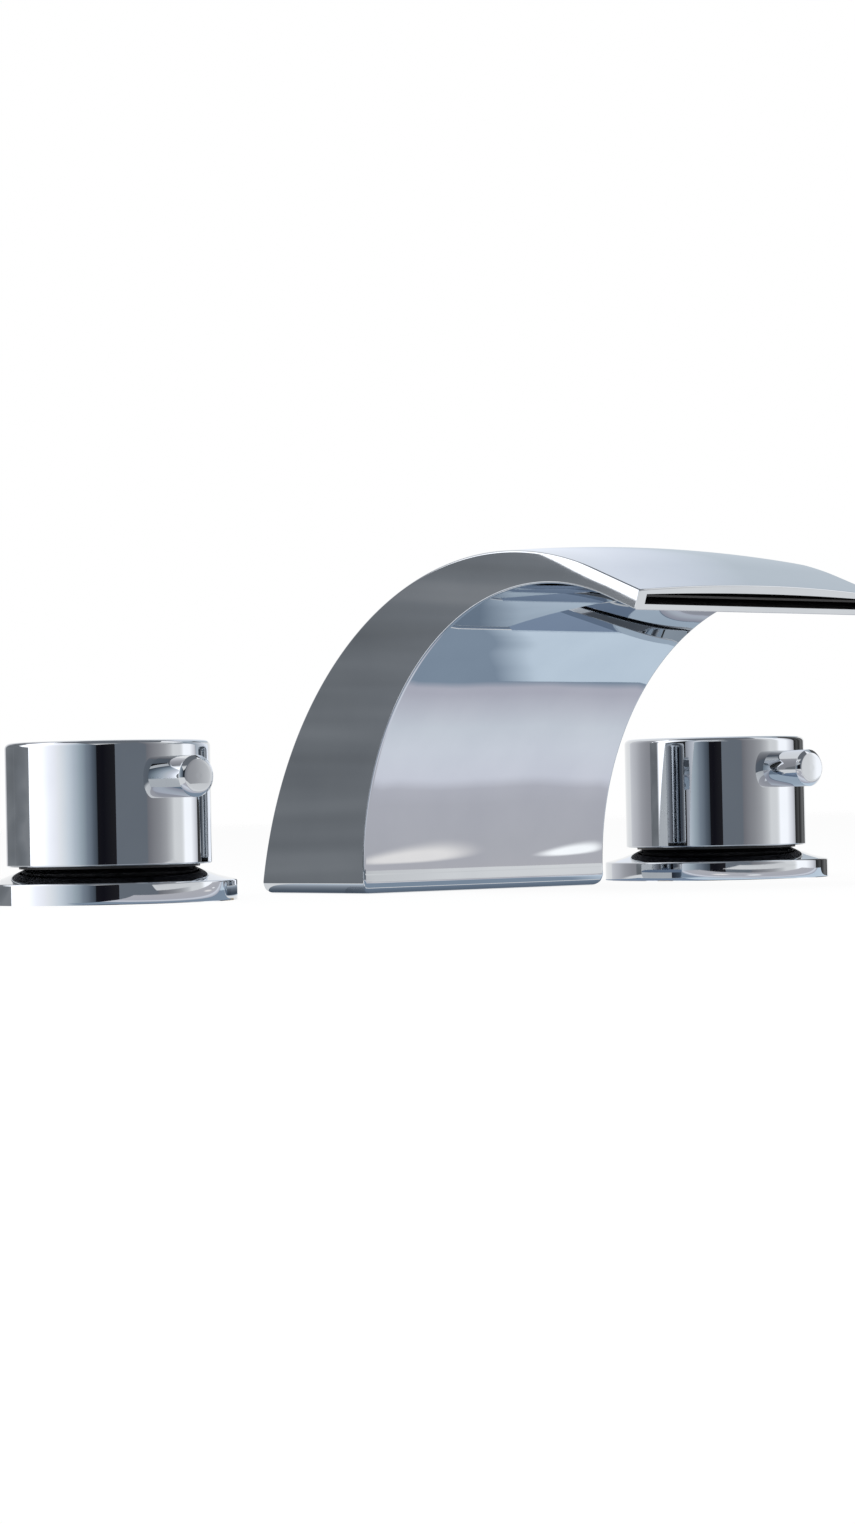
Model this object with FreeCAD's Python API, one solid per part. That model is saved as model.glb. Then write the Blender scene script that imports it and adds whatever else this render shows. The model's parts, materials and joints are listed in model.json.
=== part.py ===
import FreeCAD, Part
import math
import os

# Widespread bathroom faucet: a wide waterfall spout between a hot and a cold quarter-turn valve.
# Millimetres. Z is up from the deck's top face, the user stands on the -Y side, and X runs from
# the hot valve to the cold valve. The origin is where the spout's shank goes into the deck.

vec = FreeCAD.Vector
ORIGIN = vec(0, 0, 0)
X_AXIS = vec(1, 0, 0)
Y_AXIS = vec(0, 1, 0)
Z_AXIS = vec(0, 0, 1)

# Layout on the deck
handle_spacing = 203.2
deck_thickness = 20.0

# Clearances
thread_gap = 0.05
running_gap = 0.05
seat_gap = 0.15
axial_gap = 0.2
turning_gap = 0.5

# Working values: how far cutters overrun, how closely a point lies on a face, the arch's turn
# from upright to below the deck, and the places along an edge where it is tested
cut_margin = 10.0
touching = 1e-3
arch_turn = 100.0
edge_shares = (0.05, 0.5, 0.95)

# Spout, outside
spout_width = 80.0
spout_base_depth = 43.5
spout_height = 82.2
spout_reach = 126.0
back_radius = 98.5
tip_slope = 17.5
tip_thickness = 4.8
lip_thickness = 3.82
spout_crown = 1.8
base_round = 3.0
base_round_trim = 0.2
front_edge_round = 1.2
back_edge_round = 0.5
tip_edge_round = 0.4

# Spout, inside
roof_wall = 2.0
floor_wall = 1.5
side_wall = 2.5
slot_crown = 0.8
liner_wall = 0.5
liner_length = 12.0
liner_recess = 1.5
liner_rib_recess = 3.5
liner_rib_width = 0.8
liner_rib_count = 9

# Spout, base and shank
base_rim = 5.0
base_corner_radius = 3.0
gasket_thickness = 1.0
gasket_hole_gap = 0.8
base_plate_thickness = 5.0
screw_inset = 5.0
screw_radius = 2.0
screw_length = 9.0
screw_head_radius = 3.6
screw_head_height = 2.4
screw_key = 2.5
screw_key_depth = 1.4
post_width = 9.5
post_height = 11.0
spout_shank_bore = 8.0
spout_flange_gap = 0.55
spout_flange_ledge = 2.98
spout_flange_height = 3.0
spout_inlet_radius = 10.478
spout_inlet_length = 14.0
shank_runout = 4.0
shank_oring_section = 0.75

# Clamp under the deck
rubber_washer_thickness = 3.0
steel_washer_thickness = 1.5
washer_hole_gap = 0.3
spout_washer_rim = 8.0
spout_nut_flats = 36.0
spout_nut_height = 8.0
valve_washer_rim = 8.0
valve_nut_flats = 41.0
valve_nut_height = 9.0

# Escutcheon
escutcheon_radius = 31.0
escutcheon_rim = 5.0
escutcheon_height = 8.4
escutcheon_top_radius = 20.5
escutcheon_edge = 0.4
escutcheon_recess_depth = 2.5
escutcheon_recess_inner_wall = 3.0
escutcheon_recess_outer_wall = 4.0
escutcheon_gasket_width = 6.0
glide_ring_height = 3.5

# Knob and lever pin
knob_radius = 25.0
knob_height = 30.0
knob_lift = 9.0
knob_wall = 2.5
knob_top_wall = 4.0
knob_edge_round = 1.4
knob_bottom_edge = 0.4
hub_radius = 9.0
hub_gap = 0.8
pin_radius = 5.0
pin_reach = 13.3
pin_drop = 9.0
pin_chamfer = 1.0
pin_seat_depth = 0.8
stud_radius = 3.0
stud_gap = 2.0
boss_wall = 2.2
set_screw_length = 7.0
set_screw_key = 3.0
set_screw_key_depth = 3.0
index_dot_radius = 3.0
index_dot_depth = 1.2

# Valve body
valve_shank_radius = 16.0
valve_neck_radius = 13.2
valve_neck_height = 5.6
valve_inlet_radius = 10.478
valve_inlet_length = 14.0
valve_inlet_bore = 5.5
outlet_radius = 8.33
outlet_length = 12.0
outlet_boss_radius = 10.0
outlet_boss_length = 2.0
outlet_bore = 5.0
outlet_drop = 14.5
outlet_floor = 11.0
channel_radius = 2.4
channel_wall = 1.3
seat_depth = 17.0

# Cartridge
cartridge_thread_radius = 10.43
cartridge_thread_length = 10.0
housing_radius = 8.6
housing_wall = 1.0
housing_gap = 0.45
hex_flats = 22.0
hex_height = 5.0
neck_radius = 7.5
neck_height = 4.0
window_width = 8.0
seal_thickness = 2.0
seal_stand = 0.8
seal_hole_radius = 4.2
disc_gap = 0.1
fixed_disc_thickness = 3.5
moving_disc_thickness = 3.0
port_inner_radius = 1.6
port_outer_radius = 5.8
port_angle = 80.0
driver_thickness = 3.0
driver_width = 6.0
tongue_width = 2.8
tongue_depth = 1.5
thrust_washer_thickness = 0.8
stem_radius = 5.0
stem_oring_section = 0.7
stem_oring_depth = 1.4
stem_oring_heights = (4.0, 10.0)
cartridge_oring_section = 0.8
cartridge_oring_squash = 0.05
cartridge_oring_drop = 4.0
clip_thickness = 0.8
clip_width = 2.5
clip_groove_depth = 0.8
clip_mouth = 5.0
clip_land = 0.4
spline_radius = 4.0
spline_depth = 0.4
spline_teeth = 20
socket_roof = 0.7

# Spout profile in the YZ plane: one arc up the back, a straight lip, one arc up the front.
# The front arc leaves the base upright, comes nearest to the lip's top at the lip's thickness and
# ends at the tip's thickness, which gives its radius as the smaller root of a quadratic.
slope = math.radians(tip_slope)
back_y = spout_base_depth / 2
front_y = -spout_base_depth / 2
back_centre_z = spout_height - back_radius
back_centre_y = back_y - math.sqrt(back_radius**2 - back_centre_z**2)
bend_end_y = back_centre_y - back_radius * math.sin(slope)
bend_end_z = back_centre_z + back_radius * math.cos(slope)
lip_length = (spout_reach + bend_end_y) / math.cos(slope)
tip_top = vec(0, -spout_reach, bend_end_z - lip_length * math.sin(slope))
lip_direction = vec(0, -math.cos(slope), -math.sin(slope))
lip_thinning = tip_thickness - lip_thickness
front_span = front_y + spout_reach - lip_thickness * math.sin(slope)
radius_share = 1 + math.sin(slope)
root_middle = (front_span * radius_share + lip_thinning * math.cos(slope)**2) / radius_share**2
root_product = (front_span**2 + (lip_thinning * math.cos(slope))**2) / radius_share**2
front_radius = root_middle - math.sqrt(root_middle**2 - root_product)
thinnest_place = math.sqrt(lip_thinning * (2 * front_radius - lip_thinning))
front_centre_y = front_y - front_radius
front_centre_drop = (lip_thickness + front_radius) * math.cos(slope) - thinnest_place * math.sin(slope)
front_centre_z = tip_top.z - front_centre_drop
back_centre = vec(0, back_centre_y, back_centre_z)

# The spout's shank: its flange fills the base's pocket
spout_flange_radius = spout_base_depth / 2 - base_rim - spout_flange_gap
spout_shank_radius = spout_flange_radius - spout_flange_ledge

# Heights along the spout's shank
plate_top = gasket_thickness + base_plate_thickness
spout_nut_top = -deck_thickness - rubber_washer_thickness - steel_washer_thickness
spout_nut_bottom = spout_nut_top - spout_nut_height
spout_shank_end = spout_nut_bottom - shank_runout

# Heights along a valve's axis
valve_nut_bottom = spout_nut_top - valve_nut_height
outlet_height = valve_nut_bottom - outlet_drop
valve_block_bottom = outlet_height - outlet_floor
body_top = escutcheon_height + valve_neck_height
thread_bottom = body_top - cartridge_thread_length
hex_top = body_top + hex_height
neck_top = hex_top + neck_height
clip_bottom = neck_top + axial_gap
clip_top = clip_bottom + clip_thickness
stem_shoulder = clip_top + clip_land
knob_top = knob_lift + knob_height
knob_ceiling = knob_top - knob_top_wall
socket_top = knob_ceiling - socket_roof
stem_top = socket_top - axial_gap
pin_height = knob_top - pin_drop
housing_bottom = -seat_depth + seal_stand
fixed_disc_bottom = -seat_depth + seal_thickness
moving_disc_bottom = fixed_disc_bottom + fixed_disc_thickness + running_gap
driver_bottom = moving_disc_bottom + moving_disc_thickness
driver_top = driver_bottom + driver_thickness
chamber_top = driver_top + running_gap + thrust_washer_thickness

# Radii about a valve's axis
chamber_radius = housing_radius - housing_wall
disc_radius = chamber_radius - disc_gap
cartridge_bore = housing_radius + housing_gap
stem_bore = stem_radius + running_gap
channel_offset = valve_shank_radius - channel_wall - channel_radius
gallery_radius = channel_offset - channel_radius / 2
knob_inside = knob_radius - knob_wall
pin_seat = knob_radius - pin_seat_depth
set_screw_start = spline_radius + thread_gap
set_screw_end = set_screw_start + set_screw_length
stud_end = set_screw_end + stud_gap


# Plain shapes

def rod(radius, low, high):
    """Upright cylinder between two heights."""
    return Part.makeCylinder(radius, high - low, vec(0, 0, low), Z_AXIS)


def rod_forward(radius, near, far, height):
    """Cylinder that points at the user, between two distances from the valve's axis."""
    return Part.makeCylinder(radius, far - near, vec(0, -near, height), -Y_AXIS)


def rod_backward(radius, near, far, height):
    """Cylinder that points away from the user, between two distances from the valve's axis."""
    return Part.makeCylinder(radius, far - near, vec(0, near, height), Y_AXIS)


def ring(outer, inner, low, high):
    """Upright tube between two heights."""
    return rod(outer, low, high).cut(rod(inner, low, high))


def lathe(outline):
    """Turned piece: a closed outline of (radius, height) points spun about Z."""
    points = [vec(radius, 0, height) for radius, height in outline]
    face = Part.Face(Part.makePolygon(points + points[:1]))
    return face.revolve(ORIGIN, Z_AXIS, 360)


def block(x_low, x_high, y_low, y_high, low, high):
    """Box between two corners."""
    return Part.makeBox(x_high - x_low, y_high - y_low, high - low, vec(x_low, y_low, low))


def bar(length, width, low, high):
    """Box centred on the Z axis, its length along X."""
    return block(-length / 2, length / 2, -width / 2, width / 2, low, high)


def rounded_plate(length, width, radius, low, high):
    """Flat plate with rounded upright corners, centred on the Z axis."""
    plate = bar(length, width, low, high)
    upright = [edge for edge in plate.Edges if abs(edge.BoundBox.ZLength - high + low) < touching]
    return plate.makeFillet(radius, upright)


def prism(points, low, high):
    """Upright prism over a closed polygon of (x, y) points."""
    corners = [vec(x, y, low) for x, y in points]
    face = Part.Face(Part.makePolygon(corners + corners[:1]))
    return face.extrude(vec(0, 0, high - low))


def on_circle(radius, angle):
    """Point (x, y) on a circle about the Z axis, with the angle in degrees."""
    turn = math.radians(angle)
    return (radius * math.cos(turn), radius * math.sin(turn))


def hexagon(flats, low, high):
    """Upright hexagonal prism, sized across its flats."""
    corner = flats / math.sqrt(3)
    return prism([on_circle(corner, 60 * turn) for turn in range(6)], low, high)


def spline(radius, low, high):
    """Upright toothed shaft, with the radius at the teeth's tips."""
    step = 180 / spline_teeth
    radii = [radius, radius - spline_depth] * spline_teeth
    return prism([on_circle(r, step * turn) for turn, r in enumerate(radii)], low, high)


def oring(centre_radius, section, height):
    """Round seal lying flat about the Z axis."""
    return Part.makeTorus(centre_radius, section, vec(0, 0, height), Z_AXIS)


def one_solid(shape):
    """The single solid of a finished shape, with split faces merged."""
    return shape.removeSplitter().Solids[0]


def edges_where(shape, test):
    """Edges whose points all pass a test."""
    found = []
    for edge in shape.Edges:
        start, end = edge.ParameterRange
        points = [edge.valueAt(start + (end - start) * share) for share in edge_shares]
        if all(test(point) for point in points):
            found.append(edge)
    return found


def rounded(shape, rounds):
    """Shape with sets of edges rounded together, each set at its own radius, so corners blend."""
    document = FreeCAD.newDocument()
    sharp = document.addObject("Part::Feature", "sharp")
    sharp.Shape = shape
    fillet = document.addObject("Part::Fillet", "rounded")
    fillet.Base = sharp
    numbered = list(enumerate(shape.Edges, 1))
    chosen = []
    for radius, edges in rounds:
        for edge in edges:
            chosen += [(number, radius, radius) for number, other in numbered if other.isSame(edge)]
    fillet.Edges = chosen
    document.recompute()
    result = fillet.Shape.copy()
    FreeCAD.closeDocument(document.Name)
    return result


# Spout

def arch(half_width, roof_radius, crown, floor_radius, overrun):
    """Solid between a crowned roof arc and a flat floor arc, from below the deck to the tip."""
    shift = math.hypot(back_centre_y - front_centre_y, back_centre_z - front_centre_z)
    low = back_centre_z + (floor_radius - shift) / 2
    side = back_centre_z + roof_radius - crown
    low_left = vec(-half_width, back_centre_y, low)
    low_right = vec(half_width, back_centre_y, low)
    top_right = vec(half_width, back_centre_y, side)
    top_left = vec(-half_width, back_centre_y, side)
    top_middle = vec(0, back_centre_y, back_centre_z + roof_radius)
    outline = Part.Wire([
        Part.makeLine(low_left, low_right),
        Part.makeLine(low_right, top_right),
        Part.Arc(top_right, top_middle, top_left).toShape(),
        Part.makeLine(top_left, low_left),
    ])
    section = Part.Face(outline)
    section.rotate(back_centre, X_AXIS, tip_slope)
    bend = section.revolve(back_centre, X_AXIS, -tip_slope - arch_turn)
    lip = section.extrude(lip_direction * (lip_length + overrun))
    floor_start = vec(-half_width - cut_margin, front_centre_y, front_centre_z)
    floor = Part.makeCylinder(floor_radius, 2 * (half_width + cut_margin), floor_start, X_AXIS)
    return bend.fuse(lip).cut(floor)


def above(shape, height):
    """The part of a shape over a height."""
    box = shape.BoundBox
    cutter = block(box.XMin - cut_margin, box.XMax + cut_margin, box.YMin - cut_margin,
                   box.YMax + cut_margin, box.ZMin - cut_margin, height)
    return shape.cut(cutter)


def lip_slab(start, end):
    """Slab across the lip, between two distances back from the tip face."""
    slab = block(-spout_width, spout_width, start, end, -spout_height / 2, spout_height / 2)
    slab.rotate(ORIGIN, X_AXIS, tip_slope)
    slab.translate(tip_top)
    return slab


def spout_outside():
    """Solid outer form of the spout with its edges rounded, the base's round cut off at the deck."""
    half = spout_width / 2
    form = arch(half, back_radius + spout_crown, spout_crown, front_radius, 0)
    form = one_solid(above(form, -base_round_trim))

    def at_foot(point):
        return abs(point.z + base_round_trim) < touching

    def on_side(point):
        return abs(abs(point.x) - half) < touching

    def on_front(point):
        reach = math.hypot(point.y - front_centre_y, point.z - front_centre_z)
        return abs(reach - front_radius) < touching

    def on_tip(point):
        return abs((point - tip_top).dot(lip_direction)) < touching

    def on_front_edge(point):
        return on_side(point) and on_front(point)

    def on_back_edge(point):
        return on_side(point) and not (on_tip(point) or on_front(point) or at_foot(point))

    form = rounded(form, [
        (base_round, edges_where(form, at_foot)),
        (front_edge_round, edges_where(form, on_front_edge)),
        (back_edge_round, edges_where(form, on_back_edge)),
        (tip_edge_round, edges_where(form, on_tip)),
    ])
    return above(form, 0)


def waterway(inset):
    """The hollow from base to slot, drawn in from the walls by an inset."""
    half = spout_width / 2 - side_wall - inset
    roof = back_radius + spout_crown - roof_wall - inset
    return arch(half, roof, slot_crown, front_radius + floor_wall + inset, cut_margin)


def base_plate_outline(gap, low, high):
    """Plate shape that fills the base's pocket, less a gap all round."""
    length = spout_width - 2 * (base_rim + gap)
    width = spout_base_depth - 2 * (base_rim + gap)
    return rounded_plate(length, width, base_corner_radius, low, high)


def screw_places():
    """Centres of the four base plate screws."""
    x = spout_width / 2 - base_rim - screw_inset
    y = spout_base_depth / 2 - base_rim - screw_inset
    return [vec(x, y, 0), vec(-x, y, 0), vec(-x, -y, 0), vec(x, -y, 0)]


def at_screws(shape):
    """Copies of a shape at the four base plate screws."""
    return [shape.translated(place) for place in screw_places()]


def spout_body():
    """Hollow casting: pocket and corner posts in the base, open slot at the tip."""
    hollow = above(waterway(0), plate_top)
    post_x = spout_width / 2 - base_rim - post_width
    post_y = spout_base_depth / 2 - base_rim - post_width
    post = block(post_x, spout_width, post_y, spout_base_depth, plate_top, plate_top + post_height)
    posts = [post, post.mirror(ORIGIN, X_AXIS)]
    posts += [corner.mirror(ORIGIN, Y_AXIS) for corner in posts]
    hollow = hollow.cut(posts)
    pocket = base_plate_outline(0, -cut_margin, plate_top)
    screw_hole = rod(screw_radius + thread_gap, plate_top, plate_top + screw_length)
    return one_solid(spout_outside().cut([hollow, pocket] + at_screws(screw_hole)))


def slot_liner():
    """Flow guide: a thin frame inside the slot with upright ribs further in."""
    length_end = liner_recess + liner_length
    sleeve = waterway(running_gap).common(lip_slab(liner_recess, length_end))
    channel = waterway(running_gap + liner_wall)
    ribs_zone = waterway(running_gap + liner_wall / 2)
    ribs_zone = ribs_zone.common(lip_slab(liner_recess + liner_rib_recess, length_end))
    pitch = (spout_width - 2 * side_wall) / (liner_rib_count + 1)
    first = -pitch * (liner_rib_count - 1) / 2
    ribs = []
    for index in range(liner_rib_count):
        centre = first + pitch * index
        rib = block(centre - liner_rib_width / 2, centre + liner_rib_width / 2,
                    -2 * spout_reach, 0, 0, 2 * spout_height)
        ribs.append(ribs_zone.common(rib))
    return one_solid(sleeve.cut(channel).multiFuse(ribs))


def spout_base_plate():
    """Plate that closes the base, with the shank's hole, a seal groove and four screw holes."""
    plate = base_plate_outline(seat_gap, gasket_thickness, plate_top)
    shank_hole = rod(spout_shank_radius + thread_gap, 0, plate_top)
    groove_outer = shank_oring_radius() + shank_oring_section + running_gap
    groove_inner = shank_oring_radius() - shank_oring_section - running_gap
    groove = ring(groove_outer, groove_inner, shank_groove_floor(), plate_top)
    screw_hole = rod(screw_radius + seat_gap, gasket_thickness, plate_top)
    head_hole = rod(screw_head_radius + seat_gap, gasket_thickness, screw_seat())
    return one_solid(plate.cut([shank_hole, groove] + at_screws(screw_hole.fuse(head_hole))))


def screw_seat():
    """Height of the faces under the base plate screws' heads."""
    return gasket_thickness + screw_head_height


def shank_oring_radius():
    """Centre radius of the seal midway under the shank's flange."""
    return (spout_shank_radius + spout_flange_radius) / 2


def shank_groove_floor():
    """Height of the floor of the seal's groove in the base plate."""
    return plate_top - 2 * shank_oring_section


def base_plate_screws():
    """Four cap screws that hold the plate to the posts."""
    head = rod(screw_head_radius, gasket_thickness, screw_seat())
    shank = rod(screw_radius, screw_seat(), plate_top + screw_length - axial_gap)
    key = hexagon(screw_key, gasket_thickness, gasket_thickness + screw_key_depth)
    screw = one_solid(head.fuse(shank).cut(key))
    return Part.makeCompound(at_screws(screw))


def spout_gasket():
    """Rubber sheet in the base's pocket, against the deck."""
    sheet = base_plate_outline(seat_gap, 0, gasket_thickness)
    return sheet.cut(rod(spout_shank_radius + gasket_hole_gap, 0, gasket_thickness))


def spout_shank():
    """Flanged threaded tube through the deck, with a smaller threaded inlet at its foot."""
    inlet_end = spout_shank_end - spout_inlet_length
    flange_top = plate_top + spout_flange_height
    return lathe([
        (spout_shank_bore, inlet_end),
        (spout_inlet_radius, inlet_end),
        (spout_inlet_radius, spout_shank_end),
        (spout_shank_radius, spout_shank_end),
        (spout_shank_radius, plate_top),
        (spout_flange_radius, plate_top),
        (spout_flange_radius, flange_top),
        (spout_shank_bore, flange_top),
    ])


def shank_oring():
    """Seal in the base plate's groove, under the shank's flange."""
    return oring(shank_oring_radius(), shank_oring_section, plate_top - shank_oring_section)


# Clamp under the deck, the same for the spout and both valves

def clamp(shank_radius, washer_rim, nut_flats, nut_height):
    """Rubber washer, steel washer and lock nut on a threaded shank."""
    hole = shank_radius + washer_hole_gap
    rim = shank_radius + washer_rim
    rubber_bottom = -deck_thickness - rubber_washer_thickness
    steel_bottom = rubber_bottom - steel_washer_thickness
    nut_hole = rod(shank_radius + thread_gap, steel_bottom - nut_height, steel_bottom)
    return {
        "rubber_washer": ring(rim, hole, rubber_bottom, -deck_thickness),
        "steel_washer": ring(rim, hole, steel_bottom, rubber_bottom),
        "lock_nut": hexagon(nut_flats, steel_bottom - nut_height, steel_bottom).cut(nut_hole),
    }


# Valve, drawn about its own axis with its outlet at the back

def escutcheon():
    """Cone-topped cover that screws down over the valve body onto the deck."""
    bore = valve_shank_radius + thread_gap
    recess_inner = valve_shank_radius + escutcheon_recess_inner_wall
    recess_outer = escutcheon_radius - escutcheon_recess_outer_wall
    return lathe([
        (bore, 0),
        (recess_inner, 0),
        (recess_inner, escutcheon_recess_depth),
        (recess_outer, escutcheon_recess_depth),
        (recess_outer, 0),
        (escutcheon_radius, 0),
        (escutcheon_radius, escutcheon_rim - escutcheon_edge),
        (escutcheon_radius - escutcheon_edge, escutcheon_rim),
        (escutcheon_top_radius, escutcheon_height),
        (bore, escutcheon_height),
    ])


def escutcheon_gasket():
    """Rubber ring in the recess under the escutcheon."""
    outer = escutcheon_radius - escutcheon_recess_outer_wall - seat_gap
    return ring(outer, outer - escutcheon_gasket_width, 0, escutcheon_recess_depth)


def glide_ring():
    """Plastic ring on the escutcheon that keeps the knob centred and closes the gap."""
    outer = knob_inside - turning_gap
    inner = valve_neck_radius + seat_gap
    return ring(outer, inner, escutcheon_height, escutcheon_height + glide_ring_height)


def valve_body():
    """Brass body: inlet below, cartridge bore above, channel down to the outlet at the back."""
    inlet_end = valve_block_bottom - valve_inlet_length
    thread_bore = cartridge_thread_radius + thread_gap
    gallery_low = fixed_disc_bottom + fixed_disc_thickness
    gallery_high = chamber_top + channel_radius
    body = lathe([
        (valve_inlet_bore, inlet_end),
        (valve_inlet_radius, inlet_end),
        (valve_inlet_radius, valve_block_bottom),
        (valve_shank_radius, valve_block_bottom),
        (valve_shank_radius, escutcheon_height),
        (valve_neck_radius, escutcheon_height),
        (valve_neck_radius, body_top),
        (thread_bore, body_top),
        (thread_bore, thread_bottom),
        (cartridge_bore, thread_bottom),
        (cartridge_bore, gallery_high),
        (gallery_radius, gallery_high),
        (gallery_radius, gallery_low),
        (cartridge_bore, gallery_low),
        (cartridge_bore, -seat_depth),
        (valve_inlet_bore, -seat_depth),
    ])
    boss_start = valve_shank_radius - outlet_boss_radius
    boss_end = valve_shank_radius + outlet_boss_length
    outlet_end = boss_end + outlet_length
    bore_start = channel_offset - channel_radius
    boss = rod_backward(outlet_boss_radius, boss_start, boss_end, outlet_height)
    nipple = rod_backward(outlet_radius, boss_end, outlet_end, outlet_height)
    bore = rod_backward(outlet_bore, bore_start, outlet_end, outlet_height)
    channel = rod(channel_radius, outlet_height, gallery_high)
    channel.translate(vec(0, channel_offset, 0))
    inlet = rod(valve_inlet_bore, inlet_end, -seat_depth)
    return one_solid(body.multiFuse([boss, nipple]).cut([bore, channel, inlet]))


def cartridge_oring_height():
    """Height of the seal round the cartridge, between its thread and the gallery."""
    return thread_bottom - cartridge_oring_drop


def cartridge_oring_centre():
    """Centre radius of the seal round the cartridge."""
    return cartridge_bore - cartridge_oring_squash - cartridge_oring_section


def cartridge_housing():
    """Brass shell of the cartridge: hex and neck above, disc chamber with two windows below."""
    housing = lathe([
        (chamber_radius, housing_bottom),
        (housing_radius, housing_bottom),
        (housing_radius, thread_bottom),
        (cartridge_thread_radius, thread_bottom),
        (cartridge_thread_radius, body_top),
        (neck_radius, body_top),
        (neck_radius, neck_top),
        (stem_bore, neck_top),
        (stem_bore, chamber_top),
        (chamber_radius, chamber_top),
    ])
    collar = hexagon(hex_flats, body_top, hex_top).cut(rod(stem_bore, body_top, hex_top))
    window = bar(window_width, 2 * housing_radius + cut_margin, driver_bottom, driver_top)
    window = window.cut(rod(stem_bore, driver_bottom, driver_top))
    groove_low = cartridge_oring_height() - cartridge_oring_section - running_gap
    groove_high = cartridge_oring_height() + cartridge_oring_section + running_gap
    groove_floor = cartridge_oring_centre() - cartridge_oring_section - running_gap
    groove = ring(housing_radius + housing_gap, groove_floor, groove_low, groove_high)
    return one_solid(housing.fuse(collar).cut([window, groove]))


def cartridge_oring():
    """Seal between the cartridge and the valve body."""
    return oring(cartridge_oring_centre(), cartridge_oring_section, cartridge_oring_height())


def seat_seal():
    """Rubber ring between the valve body's seat and the fixed disc."""
    return ring(disc_radius, seal_hole_radius, -seat_depth, fixed_disc_bottom)


def disc_port(low, high, centre_angle):
    """Sector-shaped port through a disc."""
    half = port_angle / 2
    start = on_circle(1, centre_angle - half)
    end = on_circle(1, centre_angle + half)
    middle = on_circle(1, centre_angle)

    def place(direction, radius):
        return vec(direction[0] * radius, direction[1] * radius, low)

    outline = Part.Wire([
        Part.makeLine(place(start, port_inner_radius), place(start, port_outer_radius)),
        Part.Arc(place(start, port_outer_radius), place(middle, port_outer_radius),
                 place(end, port_outer_radius)).toShape(),
        Part.makeLine(place(end, port_outer_radius), place(end, port_inner_radius)),
        Part.Arc(place(end, port_inner_radius), place(middle, port_inner_radius),
                 place(start, port_inner_radius)).toShape(),
    ])
    return Part.Face(outline).extrude(vec(0, 0, high - low))


def ported_disc(low, high, first_angle):
    """Ceramic disc with two opposite ports."""
    ports = [disc_port(low, high, first_angle), disc_port(low, high, first_angle + 180)]
    return rod(disc_radius, low, high).cut(ports)


def fixed_disc():
    """Lower ceramic disc, still in the housing."""
    return ported_disc(fixed_disc_bottom, fixed_disc_bottom + fixed_disc_thickness, 0)


def moving_disc():
    """Upper ceramic disc, shut at rest, with a slot for the stem's tongue."""
    disc = ported_disc(moving_disc_bottom, driver_bottom, 90)
    slot_floor = driver_bottom - tongue_depth - axial_gap
    slot = bar(2 * disc_radius, tongue_width + 2 * running_gap, slot_floor, driver_bottom)
    return one_solid(disc.cut(slot))


def stem():
    """Spindle: driver bar and tongue at its foot, seal and clip grooves, splined top."""
    driver = rod(disc_radius - disc_gap, driver_bottom, driver_top)
    driver = driver.common(bar(2 * disc_radius, driver_width, driver_bottom, driver_top))
    tongue = rod(disc_radius - disc_gap, driver_bottom - tongue_depth, driver_bottom)
    tongue = tongue.common(bar(2 * disc_radius, tongue_width, driver_bottom - tongue_depth, driver_bottom))
    shaft = rod(stem_radius, driver_top, stem_shoulder)
    top = spline(spline_radius, stem_shoulder, stem_top)
    outside = stem_radius + cut_margin
    clip_groove = ring(outside, stem_radius - clip_groove_depth, clip_bottom - running_gap,
                       clip_top + running_gap)
    grooves = [clip_groove]
    for height in stem_oring_heights:
        half = stem_oring_section + running_gap
        grooves.append(ring(outside, stem_radius - stem_oring_depth, height - half, height + half))
    return one_solid(shaft.cut(grooves).multiFuse([driver, tongue, top]))


def stem_orings():
    """Two seals in the stem's grooves."""
    centre = stem_radius - stem_oring_section
    return Part.makeCompound([oring(centre, stem_oring_section, height) for height in stem_oring_heights])


def thrust_washer():
    """Plastic washer between the driver and the housing."""
    inner = stem_radius + seat_gap
    return ring(disc_radius - disc_gap, inner, chamber_top - thrust_washer_thickness, chamber_top)


def stem_clip():
    """Open spring clip in the stem's upper groove."""
    inner = stem_radius - clip_groove_depth + running_gap
    clip = ring(inner + clip_width, inner, clip_bottom, clip_top)
    mouth = block(0, stem_radius + clip_width, -clip_mouth / 2, clip_mouth / 2, clip_bottom, clip_top)
    return one_solid(clip.cut(mouth))


def knob():
    """Hollow handle: splined hub under the top, and a boss that takes the lever pin's stud."""
    shell = rod(knob_radius, knob_lift, knob_top)
    rims = [edge for edge in shell.Edges if edge.isClosed()]
    top_rim = [edge for edge in rims if edge.valueAt(edge.FirstParameter).z > pin_height]
    shell = shell.makeFillet(knob_edge_round, top_rim)
    rims = [edge for edge in shell.Edges if edge.isClosed()]
    low_rim = [edge for edge in rims if edge.valueAt(edge.FirstParameter).z < knob_lift + knob_bottom_edge]
    shell = shell.makeChamfer(knob_bottom_edge, low_rim)
    shell = shell.cut(rod(knob_inside, knob_lift, knob_ceiling))
    hub = rod(hub_radius, stem_shoulder + hub_gap, knob_ceiling)
    boss_end = knob_radius - knob_wall / 2
    boss = rod_forward(stud_radius + boss_wall, hub_radius - stud_gap, boss_end, pin_height)
    socket = spline(spline_radius + thread_gap, stem_shoulder, socket_top)
    stud_hole = rod_forward(stud_radius + thread_gap, 0, knob_radius, pin_height)
    pin_recess = rod_forward(pin_radius + seat_gap, pin_seat, knob_radius + cut_margin, pin_height)
    dot_recess = rod(index_dot_radius + thread_gap, knob_top - index_dot_depth, knob_top)
    solid = shell.multiFuse([hub, boss])
    return one_solid(solid.cut([socket, stud_hole, pin_recess, dot_recess]))


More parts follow.
